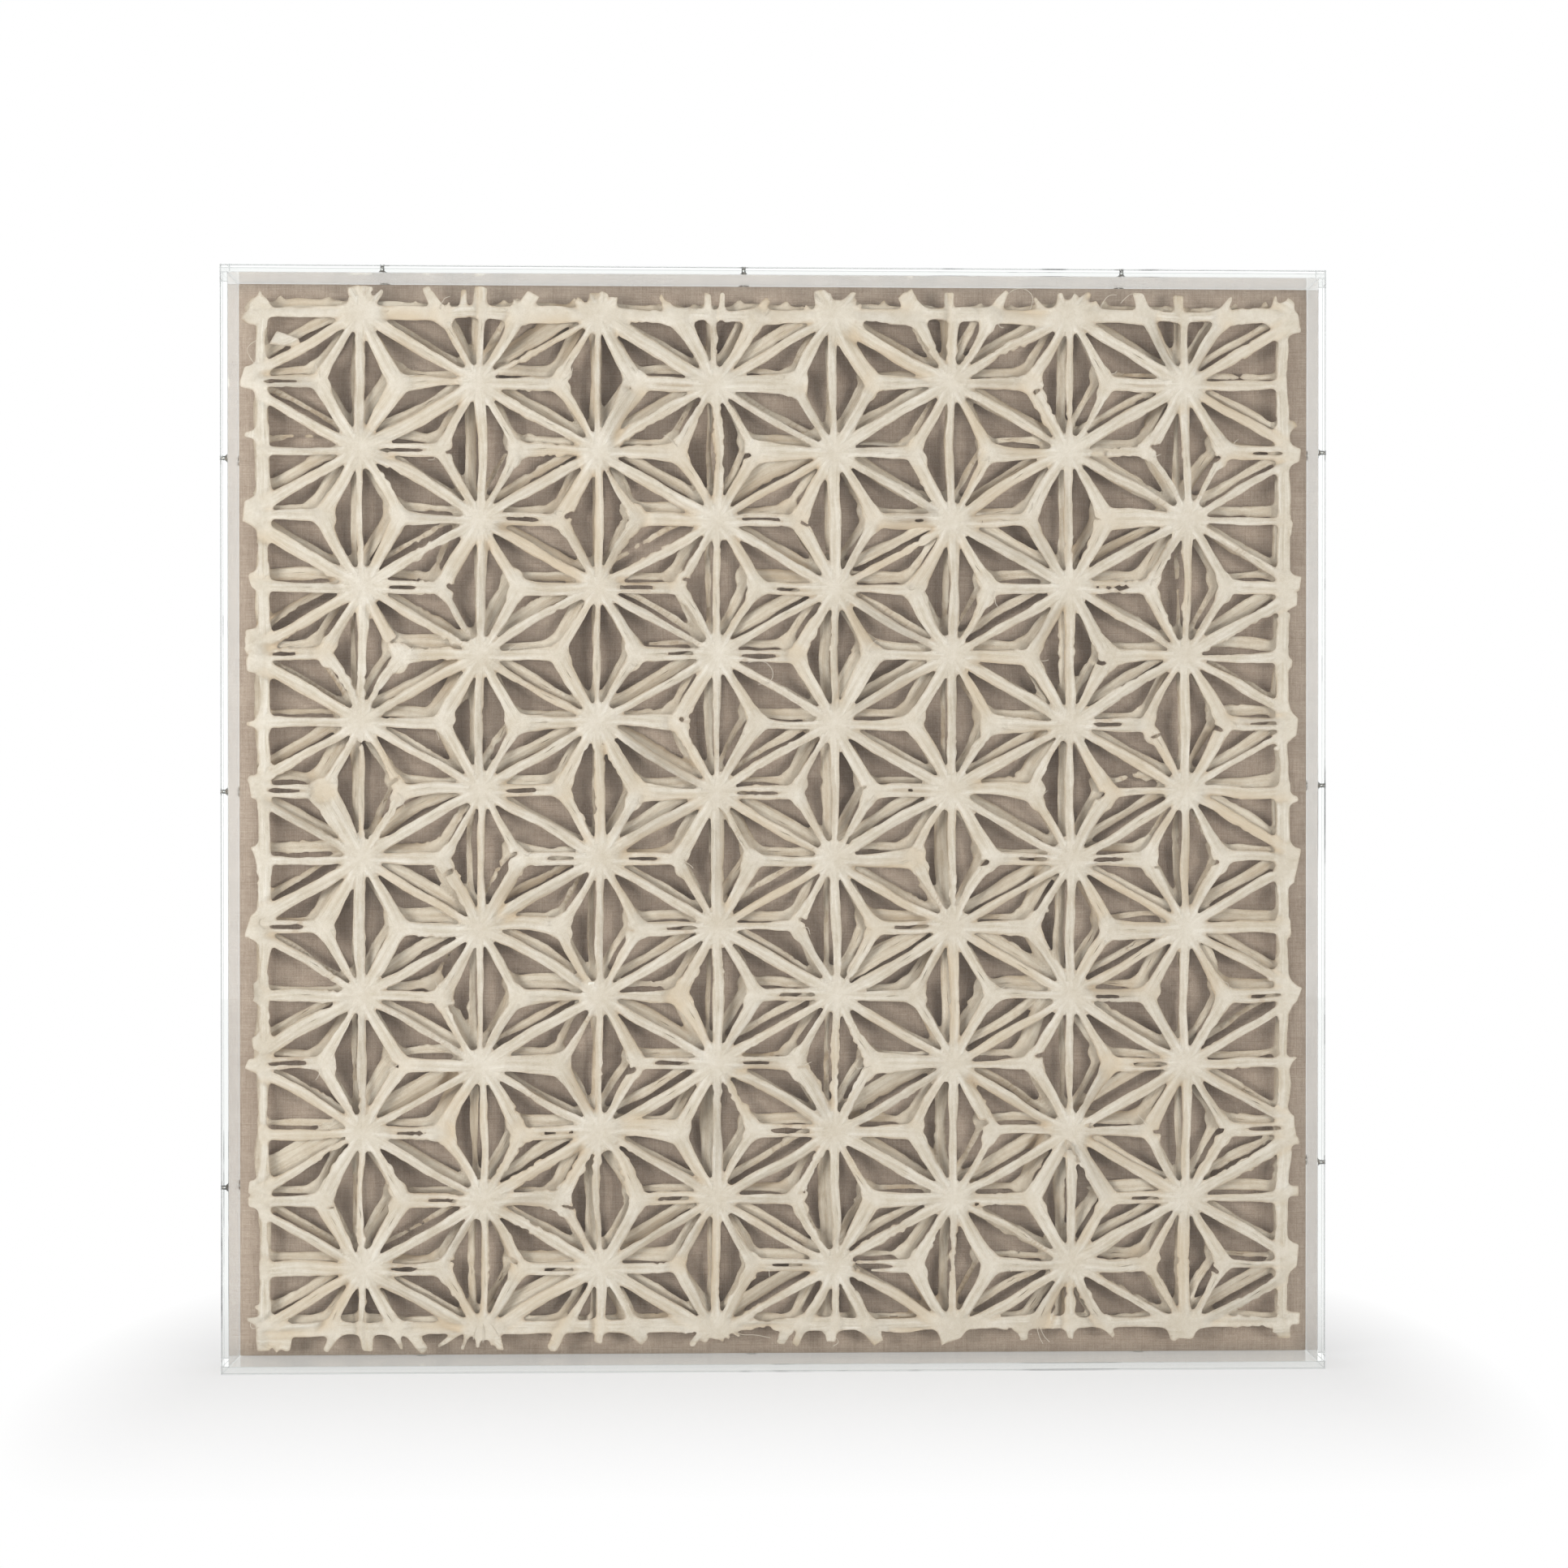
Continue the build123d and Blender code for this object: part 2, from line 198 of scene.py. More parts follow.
def paper_finish(name, depth, bright, dull, stain_and_shade, rim_shade):
    """Handmade paper: pulp clouds, fibres that follow the arms, a rough felt, slits between fibres in places,
    painted shade in the slits, a random stain, painted shade in what lies deeper than the sheet's middle,
    and rims darkened as painted shade."""
    finish = Finish(name)
    place = finish.place()
    grain = finish.add("UVMap", {"uv_map": "grain"})
    arm = finish.add("Attribute", {"attribute_name": "arm"}).out("Fac")
    clouds = finish.noise(place, 42.0, 5.0, 0.65)
    pulp = finish.noise(place, 260.0, 4.0, 0.7)
    speckle = finish.noise(place, 1300.0, 2.0, 0.6)
    fibres = finish.streaks(grain, (45.0, 1100.0, 1.0), 3.0, 0.65, 0.3)
    strands = finish.streaks(grain, (14.0, 330.0, 1.0), 2.0, 0.5, 0.6)
    streaks = ((fibres - 0.5) * 0.9 + (strands - 0.5) * 1.5) * arm
    shade = clouds * 1.5 + pulp * 0.7 + speckle * 0.7 + streaks - 0.95
    tone = finish.mix(shade.clamped(), dull, bright)
    # Stain: random clouds, with painted shade added where the paper lies deeper than the sheet's middle.
    shade_depth = finish.add("SeparateXYZ", {}, {"Vector": place}).out("Y") - depth
    aged = finish.noise(place, 17.0, 3.0, 0.5)
    tone = finish.mix(((aged - 0.5) * 1.6 + shade_depth * 260.0 + streaks * -0.3).clamped() * 0.75, tone, stain_and_shade)
    # Slits: thin brown streaks along the fibres, painted shade in the gaps between fibres, also grooved in
    # the bump.
    slits = finish.streaks(grain, (36.0, 560.0, 1.0), 1.0, 0.4, 0.2)
    cracked = ((finish.noise(place, 9.0, 2.0, 0.5) - 0.5) * 6).clamped()
    slits = ((slits - 0.72) * 14).clamped() * arm * cracked
    tone = finish.mix(slits * 0.75, tone, slit_shade_brown)
    # Rims: darker and browner near the paper's edges, in patches: painted shade where the edges curl back.
    rim = finish.add("Attribute", {"attribute_name": "rim"}).out("Fac")
    rim_shading = (rim * 1.5 * finish.noise(place, 70.0, 3.0, 0.6) - 0.3).clamped()
    tone = finish.mix(rim_shading * 0.8, tone, rim_shade)
    felt = pulp * 0.7 + (fibres + strands) * arm * 0.8 + speckle * 0.3 + slits * -1.2
    return finish.painted({
        "Base Color": tone,
        "Roughness": 0.84 + pulp * 0.12,
        "Sheen Weight": 0.12,
        "Sheen Roughness": 0.5,
        "Specular IOR Level": 0.25,
        "Normal": finish.bump(felt, felt_depth, 0.9),
    })


def linen_finish():
    """Plain-woven linen with slubs, in a warm grey."""
    finish = Finish("linen")
    place = finish.place()
    axes = finish.add("SeparateXYZ", {}, {"Vector": place})
    waviness = finish.noise(place, 45.0, 2.0, 0.5) * thread_waviness
    turns = 2 * pi / thread_pitch
    warp = ((axes + waviness) * turns).math("SINE") * 0.5 + 0.5
    weft = ((axes.out("Z") + axes.out("Y") + waviness) * turns).math("SINE") * 0.5 + 0.5
    upright_slubs = finish.streaks(place, (850.0, 850.0, 60.0), 3.0, 0.65)
    level_slubs = finish.streaks(place, (60.0, 900.0, 850.0), 3.0, 0.65)
    speckle = finish.noise(place, 1100.0, 2.0, 0.7)
    weave = warp * weft
    threads = weave * 0.24 + upright_slubs * 0.45 + level_slubs * 0.45 + speckle * 0.5
    clouds = finish.noise(place, 22.0, 5.0, 0.65)
    shade = (threads * 1.8 + clouds * 0.9 - 1.4).clamped()
    tone = finish.mix(shade, colour(145, 127, 112), colour(192, 175, 159))
    return finish.painted({
        "Base Color": tone,
        "Roughness": 0.9 - weave * 0.08,
        "Sheen Weight": 0.2,
        "Sheen Roughness": 0.4,
        "Specular IOR Level": 0.2,
        "Normal": finish.bump(threads, 0.3 * mm, 0.7),
    })


def clear_wall_finish():
    """Polished clear sheet that bends light. Shadows and soft light pass straight through it."""
    finish = Finish("clear_wall")
    place = finish.place()
    smears = finish.noise(place, 16.0, 4.0, 0.6)
    glass = finish.add("BsdfPrincipled", {}, {
        "Base Color": (0.99, 0.998, 0.995, 1.0),
        "Roughness": smears * 0.03,
        "IOR": 1.49,
        "Transmission Weight": 1.0,
    })
    rays = finish.add("LightPath")
    open_air = finish.clear(0.98, 0.985, 0.98)
    lit = finish.between(rays.out("Is Diffuse Ray"), glass, open_air)
    return finish.surface(finish.between(rays.out("Is Shadow Ray"), lit, open_air))


def clear_front_finish():
    """Flat front sheet, seen straight through, with a faint reflection and a few dull smears."""
    finish = Finish("clear_front")
    place = finish.place()
    smears = finish.noise(finish.stretched(place, (3.0, 3.0, 7.0), (0.0, 0.5, 0.0)), 4.0, 5.0, 0.65)
    grazing = finish.add("LayerWeight", {}, {"Blend": 0.5}).out("Facing")
    reflected = grazing ** 5.0 * 0.98 + 0.017
    air, gloss = finish.clear(0.985, 0.99, 0.985), finish.gloss(smears * 0.12)
    return finish.surface(finish.between(reflected, air, gloss))


def clear_edge_finish():
    """The fine bevels along a clear sheet's edges: pale grey lines with darker dashes, painted reflections of
    the surroundings, under a real gloss.
    """
    finish = Finish("clear_edge")
    marks = finish.noise(finish.place(), 70.0, 4.0, 0.7)
    # Grey lines with darker dashes through the bevels: painted reflections of the surroundings.
    painted_dark_dashes = ((finish.noise(finish.place(), 7.0, 4.0, 0.75) - 0.57) * 14).clamped()
    painted_edge_tints = finish.between(painted_dark_dashes, finish.clear(0.76, 0.77, 0.77), finish.clear(0.28, 0.29, 0.3))
    gloss = finish.gloss(0.15 + marks * 0.2)
    return finish.surface(finish.between((marks * 0.3).clamped(), painted_edge_tints, gloss))


def board_finish():
    """Raw fibreboard: warm brown, with pressed specks."""
    finish = Finish("board")
    place = finish.place()
    specks = finish.noise(place, 900.0, 3.0, 0.7)
    clouds = finish.noise(place, 30.0, 4.0, 0.6)
    pressed = (specks * 0.9 + clouds * 0.5 - 0.2).clamped()
    tone = finish.mix(pressed, colour(128, 98, 68), colour(176, 142, 104))
    return finish.painted({
        "Base Color": tone,
        "Roughness": 0.75 + specks * 0.2,
        "Normal": finish.bump(specks, 0.2 * mm, 0.5),
    })


def steel_finish(name, tone, brushed):
    """Plated steel, brushed along one way or lightly tumbled."""
    finish = Finish(name)
    place = finish.place()
    scales = (2500.0, 2500.0, 90.0) if brushed else (700.0, 700.0, 700.0)
    marks = finish.streaks(place, scales, 3.0, 0.6)
    return finish.painted({
        "Base Color": finish.mix(marks, tone, colour(236, 236, 233)),
        "Metallic": 1.0,
        "Roughness": 0.24 + marks * 0.2,
        "Normal": finish.bump(marks, 0.04 * mm, 0.4),
    })


def soft_finish(name, dark, light, scale, roughness):
    """Foam or rubber, with fine cells."""
    finish = Finish(name)
    cells = finish.add("TexVoronoi", {}, {"Vector": finish.place(), "Scale": scale}).out("Distance")
    return finish.painted({
        "Base Color": finish.mix(cells.clamped(), dark, light),
        "Roughness": roughness,
        "Normal": finish.bump(cells, 0.3 * mm, 0.5),
    })


front_paper_finish = paper_finish(
    "front_paper", front_sheet_y, bright=colour(221, 213, 202), dull=colour(190, 177, 158),
    stain_and_shade=colour(200, 181, 155), rim_shade=colour(161, 135, 106))
# The rear sheet: the front's colours made darker and browner, painted shade for lying behind the front sheet.
shaded_rear_paper_finish = paper_finish(
    "rear_paper", rear_sheet_y, bright=colour(218, 208, 192), dull=colour(187, 170, 148),
    stain_and_shade=colour(189, 167, 139), rim_shade=colour(144, 119, 91))
linen = linen_finish()
clear_wall = clear_wall_finish()
clear_front = clear_front_finish()
clear_edge = clear_edge_finish()
board = board_finish()
screw_steel = steel_finish("screw_steel", colour(226, 226, 223), brushed=False)
hanger_steel = steel_finish("hanger_steel", colour(150, 150, 148), brushed=True)
bumper_rubber = soft_finish("bumper_rubber", colour(46, 45, 44), colour(66, 64, 62), 1500.0, 0.6)
pad_foam = soft_finish("pad_foam", colour(214, 208, 196), colour(238, 234, 226), 1200.0, 0.9)

# Star pattern, as in the part's source
star_pitch = 100 * mm
pattern_drop = 3.7 * mm
strip_width = 8 * mm
strip_half_width = inside_width / 2 - 20.3 * mm
strip_half_height = inside_height / 2 - 23.3 * mm
sheet_half_width = (front_high.x - front_low.x) / 2
sheet_half_height = (front_high.z - front_low.z) / 2
column_pitch = star_pitch * sqrt(3) / 2
hub_reach = 14 * mm

# Grids of the two sheets, how far they reach past them, and how far the patterns wander from the drawn one
front_cell, rear_cell = 1.6 * mm, 2.0 * mm
grid_margin = 8 * mm
front_wander, rear_wander = 1.0 * mm, 1.2 * mm
front_seed, rear_seed = 31, 57

# Usual widths of the arms, in millimetres
front_widths = {"upright": 6.0, "long": 7.0, "level": 7.2, "slanted": 6.1}
rear_widths = {"upright": 5.0, "long": 6.6, "level": 5.6, "slanted": 5.6}

# The share of the front sheet's level short arms that are split, and their widths at hub, middle and node
split_share = 0.4
split_widths = (7 * mm, 10 * mm, 9.5 * mm)

# The share of its nodes that have a notch torn in them, and how far those stay from the strip
notch_share = 0.4
notch_clearance = 18 * mm

# Fillets where discs of paper meet the arms, and how far past the sheet a hub still counts
node_fillet = 2.5 * mm
hub_fillet = 1.6 * mm
rear_fillet = 4 * mm
hub_margin = 15 * mm

# How far apart the rear sheet's ends stand along its upper strip
rear_tab_pitch = 30 * mm

# How far round a hub the sheets lie flat on their pads, and how much further they are free again
flat_reach = 8 * mm
easing_reach = 12 * mm

# Paper turned up near the top left corner
flap_root = (-352 * mm, 351 * mm)
flap_way = 174


# Cut ends that stand out past the strip, in millimetres and degrees from the middle of each side: the place
# along it, the lean, the width at the strip and at the tip, and the reach past the strip's middle
cut_ends = {
    "top": (
        (-376, -4, 9, 1, 20), (-304, -12, 15, 10, 18), (-300, 8, 6, 3, 17), (-297, 27, 5, 2, 15),
        (-245, -33, 10, 6, 18), (-240, 2, 4, 1, 11), (-229, 0, 6, 3, 16), (-217, 3, 9, 9, 18),
        (-190, -5, 5, 1, 13), (-187, 35, 13, 9, 13), (-137, -40, 8, 5, 11), (-133, -5, 10, 6, 16),
        (-128, 6, 11, 6, 16), (-122, 15, 9, 6, 12), (-76, -33, 11, 4, 15), (-50, 0, 6, 4, 15),
        (-39, 0, 7, 2, 16), (-17, 38, 10, 5, 13), (27, -36, 4, 1.5, 11), (35, -10, 11, 8, 17),
        (40, -5, 6, 3, 15), (48, 28, 14, 3, 16), (52, 32, 3, 1, 13), (54, 50, 4, 1.5, 9),
        (103, -25, 14, 12, 17), (126, 0, 5, 7, 16), (160, 32, 13, 4, 17), (200, -35, 5, 1.5, 14),
        (211, -4, 7, 3, 15), (218, 40, 10, 4, 16), (216, 20, 5, 2, 14), (224, 58, 9, 5, 8),
        (273, -20, 12, 9, 16), (298, 0, 7, 9, 16), (328, 30, 12, 3, 14), (369, 0, 6, 1, 14),
        (378, 12, 9, 5, 11),
    ),
    "bottom": (
        (-376, 0, 10, 8, 15), (-367, 4, 6, 2, 16), (-361, 12, 7, 2, 14), (-322, -28, 10, 5, 16),
        (-300, 0, 13, 8, 16), (-281, 18, 10, 1, 16), (-272, 38, 8, 7, 17), (-229, -56, 7, 1.5, 13),
        (-225, -22, 6, 2, 16), (-220, 0, 5, 2, 15), (-212, 8, 5, 2, 14), (-209, 20, 8, 6, 16),
        (-159, -25, 5, 4, 16), (-155, -25, 4, 3, 17), (-131, 0, 11, 6, 12), (-107, 40, 14, 8, 12),
        (-52, -32, 6, 3, 15), (-50, -12, 7, 4, 12), (-44, 20, 4, 1.5, 13), (-42, 36, 4, 1.5, 12),
        (-38, 52, 4, 1, 9), (11, -30, 9, 6, 13), (20, -20, 7, 5, 15), (40, 0, 12, 6, 12),
        (66, 38, 13, 9, 13), (128, 0, 27, 14, 13), (180, 8, 10, 5, 12), (216, 4, 10, 3, 10),
        (241, 35, 11, 3, 11), (290, 15, 9, 3, 13), (301, 0, 22, 10, 11), (309, -12, 6, 3, 10),
        (375, 8, 9, 9, 12),
    ),
    "left": (
        (368, -6, 16, 3, 15), (324, 0, 24, 14, 14), (282, 0, 10, 4, 12), (225, 0, 38, 14, 13),
        (174, 0, 22, 9, 9), (132, 0, 20, 14, 13), (116, 0, 22, 15, 12), (70, 0, 9, 2.5, 13),
        (24, 0, 20, 16, 10), (-25, 0, 24, 12, 7), (-79, 0, 32, 14, 12), (-126, 0, 24, 14, 7),
        (-163, -6, 16, 9, 8), (-180, 6, 16, 8, 13), (-268, 0, 14, 8, 10), (-279, 0, 12, 7, 11),
        (-366, 10, 10, 3, 12), (-356, 4, 7, 2, 8),
    ),
    "right": (
        (366, 0, 20, 14, 12), (287, 30, 7, 5, 9), (270, 0, 24, 10, 12), (217, 0, 15, 9, 5),
        (176, 0, 17, 9, 11), (163, 0, 17, 9, 9), (115, 0, 15, 6, 7), (70, -8, 36, 12, 10),
        (16, 0, 10, 3, 10), (-32, 0, 38, 24, 10), (-79, 0, 17, 10, 4), (-128, 0, 36, 9, 11),
        (-180, 30, 13, 1, 12), (-226, 0, 30, 13, 9), (-236, -8, 8, 4, 10), (-275, 0, 9, 7, 12),
        (-322, 4, 36, 16, 11), (-369, 0, 9, 9, 12),
    ),
}

# Extra paper at the corners of the strip, in millimetres: the place and the radius
corner_patches = (
    (-377, 375, 8.5), (-382, 368, 6.5), (375, 374, 7.0), (368, 370, 6.0), (-372, -377, 7.5),
    (-362, -380, 6.0), (372, -376, 5.5),
)


def toward(start, angle, distance):
    """The point at a distance from start, in the direction of an angle in degrees."""
    return (start[0] + distance * cos(radians(angle)), start[1] + distance * sin(radians(angle)))


def hub_places():
    """Centres of the stars: columns that take turns at being half a pitch higher."""
    columns = 2 * int(strip_half_width / column_pitch + 1.5)
    rows = int(strip_half_height / star_pitch) + 2
    for column in range(columns):
        x = (column - (columns - 1) / 2) * column_pitch
        raised = star_pitch / 2 if (column - columns // 2) % 2 else 0.0
        for row in range(-rows, rows + 1):
            yield (x, row * star_pitch + raised - star_pitch / 4 - pattern_drop)


def star_cells():
    """The triangles between neighbouring hubs, as their three hubs."""
    for hub in hub_places():
        for angle in (-30, 30):
            yield [hub, toward(hub, angle, star_pitch), toward(hub, angle + 60, star_pitch)]


def middle_of(corners):
    """The middle of a cell, where its three short arms meet."""
    return tuple(sum(corner[k] for corner in corners) / 3 for k in (0, 1))


def eased(share):
    """A smooth step from 0 to 1."""
    share = np.clip(share, 0.0, 1.0)
    return share * share * (3 - 2 * share)


def between(grid, i, j, a, b):
    """A grid's numbers between its points i, j and the next ones, at shares a and b of the way."""
    low = grid[i, j] * (1 - a) + grid[i + 1, j] * a
    high = grid[i, j + 1] * (1 - a) + grid[i + 1, j + 1] * a
    return low * (1 - b) + high * b


def waves(x, z, size, seed):
    """Smooth random waves between -1 and 1, about as wide as size."""
    lattice = np.random.default_rng(seed).uniform(-1, 1, (int(2 / size) + 8, int(2 / size) + 8))
    u, v = (x + far) / size, (z + far) / size
    i, j = u.astype(int), v.astype(int)
    return between(lattice, i, j, eased(u - i), eased(v - j))


def joined(first, second, fillet):
    """The shorter of two distances, rounded by a fillet where they meet."""
    share = np.clip(0.5 + 0.5 * (second - first) / fillet, 0, 1)
    return second + (first - second) * share - fillet * share * (1 - share)


class Sheet:
    """A paper sheet as numbers on a grid of points: how far each point is outside the paper,
    how far the paper bows towards the front, and how its fibres run."""

    def __init__(self, cell, seed, wander, left=0.0, up=0.0):
        self.cell = cell
        self.seed = seed
        self.left = left
        self.up = up
        self.luck = np.random.default_rng(seed)
        reach = (sheet_half_width + grid_margin, sheet_half_height + grid_margin)
        self.columns, self.rows = (int(2 * r / cell) + 1 for r in reach)
        across = (np.arange(self.columns) - (self.columns - 1) / 2) * cell
        upward = (np.arange(self.rows) - (self.rows - 1) / 2) * cell
        self.x0, self.z0 = across[0], upward[0]
        self.x, self.z = np.meshgrid(across, upward)
        self.bent_x = self.x + left
        self.bent_z = self.z - up
        for size, share, offset in ((26 * mm, 1.0, 1), (110 * mm, 1.5, 3)):
            self.bent_x += wander * share * waves(self.x, self.z, size, seed + offset)
            self.bent_z += wander * share * waves(self.x, self.z, size, seed + offset + 1)
        self.outside = np.full(self.x.shape, far)
        self.lift = np.zeros(self.x.shape)
        self.along = self.x.copy()
        self.across = self.z.copy()
        self.arm_share = np.zeros(self.x.shape)
        self.nearest = np.full(self.x.shape, far)

    def some(self, low, high):
        """A random length between two, given in millimetres."""
        return self.luck.uniform(low, high) * mm

    def about(self, mean, spread):
        """A random length round a mean, given in millimetres."""
        return self.luck.normal(mean, spread) * mm

    def window(self, points, margin):
        """The part of the grid round some points of the pattern."""
        spans = ([p[1] + self.up for p in points], self.z0), ([p[0] - self.left for p in points], self.x0)
        return tuple(slice(max(0, int((min(span) - margin - first) / self.cell)),
                           max(0, int((max(span) + margin - first) / self.cell) + 1))
                     for span, first in spans)

    def from_start(self, here, start, end):
        """The grid's places in a window from start, then the way to end as a step, and how far it is."""
        length = dist(start, end)
        step = ((end[0] - start[0]) / length, (end[1] - start[1]) / length)
        return self.bent_x[here] - start[0], self.bent_z[here] - start[1], step, length

    def disc(self, centre, radius, fillet, lift=0.0, lean=0.0):
        """Adds a round of paper, raised and leaning a little."""
        here = self.window([centre], radius + 4 * fillet)
        x, z = self.bent_x[here] - centre[0], self.bent_z[here] - centre[1]
        reach = np.hypot(x, z)
        self.outside[here] = joined(self.outside[here], reach - radius, fillet)
        heading = self.luck.uniform(0, 2 * pi)
        slope = lean * (x * cos(heading) + z * sin(heading))
        self.lift[here] += (lift + slope) * eased(1.8 - reach / (radius * 1.1))

    def arm(self, start, end, widths, fillet, bow, twist, rise, cup):
        """Adds an arm from start to end, with its widths at the start, middle and end. It bows aside, and is
        twisted, raised and cupped most at its middle."""
        here = self.window([start, end], max(widths) + 14 * mm)
        if self.outside[here].size == 0:
            return
        x, z, step, length = self.from_start(here, start, end)
        along = x * step[0] + z * step[1]
        share = np.clip(along / length, 0, 1)
        belly = np.sin(pi * share)
        across = z * step[0] - x * step[1] - bow * belly
        half = 0.5 * (widths[0] * (1 - share) ** 2 + 2 * widths[1] * share * (1 - share)
                      + widths[2] * share ** 2)
        past = np.maximum(np.abs(along - length / 2) - length / 2, 0)
        outside = np.hypot(across, past) - half
        self.outside[here] = joined(self.outside[here], outside, fillet)
        side = across / np.maximum(half, 1 * mm)
        beside = eased(2.2 - np.abs(side)) * belly ** 0.8
        self.lift[here] += beside * (rise + across * tan(radians(twist)) - cup * side ** 2)
        nearer = outside < self.nearest[here]
        for grid, numbers in ((self.nearest, outside), (self.along, along), (self.across, across),
                              (self.arm_share, eased(belly * 1.6))):
            grid[here] = np.where(nearer, numbers, grid[here])

    def slot(self, start, end, width):
        """Tears a narrow slit."""
        here = self.window([start, end], 6 * mm)
        x, z, step, length = self.from_start(here, start, end)
        along = np.clip(x * step[0] + z * step[1], 0, length)
        reach = np.hypot(x - along * step[0], z - along * step[1])
        slit = reach - width / 2 * np.minimum(1, 5 * np.minimum(along, length - along) / length + 0.2)
        self.outside[here] = np.maximum(self.outside[here], -slit)

    def tab(self, root, way, length, widths, fillet, slant, rise):
        """Adds an end that stands out from root with a straight cut at its tip, and bends as it goes."""
        here = self.window([root, toward(root, way, length)], max(widths) + 8 * mm)
        if self.outside[here].size == 0:
            return
        x, z = self.bent_x[here] - root[0], self.bent_z[here] - root[1]
        step = cos(radians(way)), sin(radians(way))
        along = x * step[0] + z * step[1]
        across = z * step[0] - x * step[1]
        share = np.clip(along / length, 0, 1)
        half = 0.5 * (widths[0] + (widths[1] - widths[0]) * share ** 0.6)
        outside = np.maximum(np.abs(across) - half, along - length - slant * across)
        outside = np.maximum(outside, -along - 3 * mm)
        self.outside[here] = joined(self.outside[here], outside, fillet)
        self.lift[here] += rise * share ** 2 * eased(1 - outside / (3 * mm))


def read(grid, sheet, x, z):
    """A grid's numbers at any points, between its own."""
    u = np.clip((x - sheet.x0) / sheet.cell, 0, sheet.columns - 1.001)
    v = np.clip((z - sheet.z0) / sheet.cell, 0, sheet.rows - 1.001)
    i, j = u.astype(int), v.astype(int)
    return between(grid.T, i, j, u - i, v - j)


def corner_sums(grid):
    """The sum at the four corners of each of a grid's cells."""
    return grid[:-1, :-1] + grid[1:, :-1] + grid[:-1, 1:] + grid[1:, 1:]


def paper_cells(sheet):
    """The grid's cells that are paper, without two that meet at a corner alone."""
    kept = corner_sums(sheet.outside) / 4 < 0
    for _ in range(4):
        low_left, low_right = kept[:-1, :-1], kept[:-1, 1:]
        high_left, high_right = kept[1:, :-1], kept[1:, 1:]
        rising = low_left & high_right & ~low_right & ~high_left
        falling = low_right & high_left & ~low_left & ~high_right
        low_right |= rising
        low_left |= falling
    return kept


def beside_sums(grid):
    """The sum of the four neighbours of each of a grid's points."""
    padded = np.pad(grid, 1)
    return padded[:-2, 1:-1] + padded[2:, 1:-1] + padded[1:-1, :-2] + padded[1:-1, 2:]


def pull_together(grid, moved, used, share):
    """Moves some of the grid's points toward the middle of their neighbours that are used."""
    total, number = beside_sums(np.where(used, grid, 0.0)), np.maximum(beside_sums(used.astype(float)), 1)
    grid[moved] += share * (total / number - grid)[moved]


def fitted_points(sheet, kept):
    """Where the grid's points go, so that the cells' edge follows the paper's edge. The edge's points are
    moved onto it, evened out and moved again, and then the inner points spread out between them."""
    touching = corner_sums(np.pad(kept, 1).astype(int))
    used = touching > 0
    edge = used & (touching < 4)
    slope_z, slope_x = np.gradient(sheet.outside, sheet.cell)
    x, z = sheet.x.copy(), sheet.z.copy()
    for turn in range(4):
        if turn:
            pull_together(x, edge, edge, 0.4)
            pull_together(z, edge, edge, 0.4)
        for _ in range(3):
            away = read(sheet.outside, sheet, x[edge], z[edge])
            along_x = read(slope_x, sheet, x[edge], z[edge])
            along_z = read(slope_z, sheet, x[edge], z[edge])
            steep = np.maximum(along_x ** 2 + along_z ** 2, 0.2)
            step = np.clip(away / steep, -sheet.cell, sheet.cell)
            x[edge] -= step * along_x
            z[edge] -= step * along_z
    inner = used & ~edge
    for _ in range(6):
        pull_together(x, inner, used, 0.5)
        pull_together(z, inner, used, 0.5)
    return x, z


# How far in from a sheet's edge its rim darkened as painted shade reaches, and how wide the waves of its
# curled edges are
edge_softness = 1.1 * mm
curl_size = 32 * mm


def paper_bands(sheet, name, depth, bands, curl, finish):
    """Cuts a sheet out of a grid of faces, in level bands, and gives it its thickness. Its edges curl back in
    places."""
    kept = paper_cells(sheet)
    x, z = fitted_points(sheet, kept)
    near_edge = np.minimum(np.exp(read(sheet.outside, sheet, x, z) / edge_softness), 1.0)
    edge_curl = curl * near_edge * (0.3 + 4 * eased(waves(sheet.x, sheet.z, curl_size, sheet.seed + 12)))
    y = depth - paper_thickness / 2 - read(sheet.lift, sheet, x, z) + edge_curl
    pieces = []
    limits = [round(k * (sheet.rows - 1) / bands) for k in range(bands + 1)]
    for band, (first, last) in enumerate(zip(limits, limits[1:])):
        mesh = bmesh.new()
        bmesh.ops.create_grid(mesh, x_segments=sheet.columns - 1, y_segments=last - first, size=0.5)
        mesh.verts.ensure_lookup_table()
        mesh.faces.ensure_lookup_table()
        rows = slice(first, last + 1)
        grain = mesh.loops.layers.uv.new("grain")
        arm = mesh.verts.layers.float.new("arm")
        rim = mesh.verts.layers.float.new("rim")
        places = np.stack([x[rows], y[rows], z[rows] + middle_z], axis=-1).reshape(-1, 3)
        shares = sheet.arm_share[rows].ravel()
        rims = near_edge[rows].ravel()
        for vertex, place, share, edge in zip(mesh.verts, places.tolist(), shares.tolist(), rims.tolist()):
            vertex.co = place
            vertex[arm] = share
            vertex[rim] = edge
        fibre = np.stack([sheet.along[rows], sheet.across[rows]], axis=-1).reshape(-1, 2).tolist()
        gone = []
        for face, keep in zip(mesh.faces, kept[first:last].ravel()):
            if not keep:
                gone.append(face)
                continue
            for loop in face.loops:
                loop[grain].uv = fibre[loop.vert.index]
        bmesh.ops.delete(mesh, geom=gone, context="FACES")
        thicken(mesh, paper_thickness)
        pieces.append(finished(mesh, name + "_" + str(band + 1), finish))
    return pieces


def new_vertices(grown):
    """The vertices that an extrusion made."""
    return [part for part in grown["geom"] if isinstance(part, bmesh.types.BMVert)]


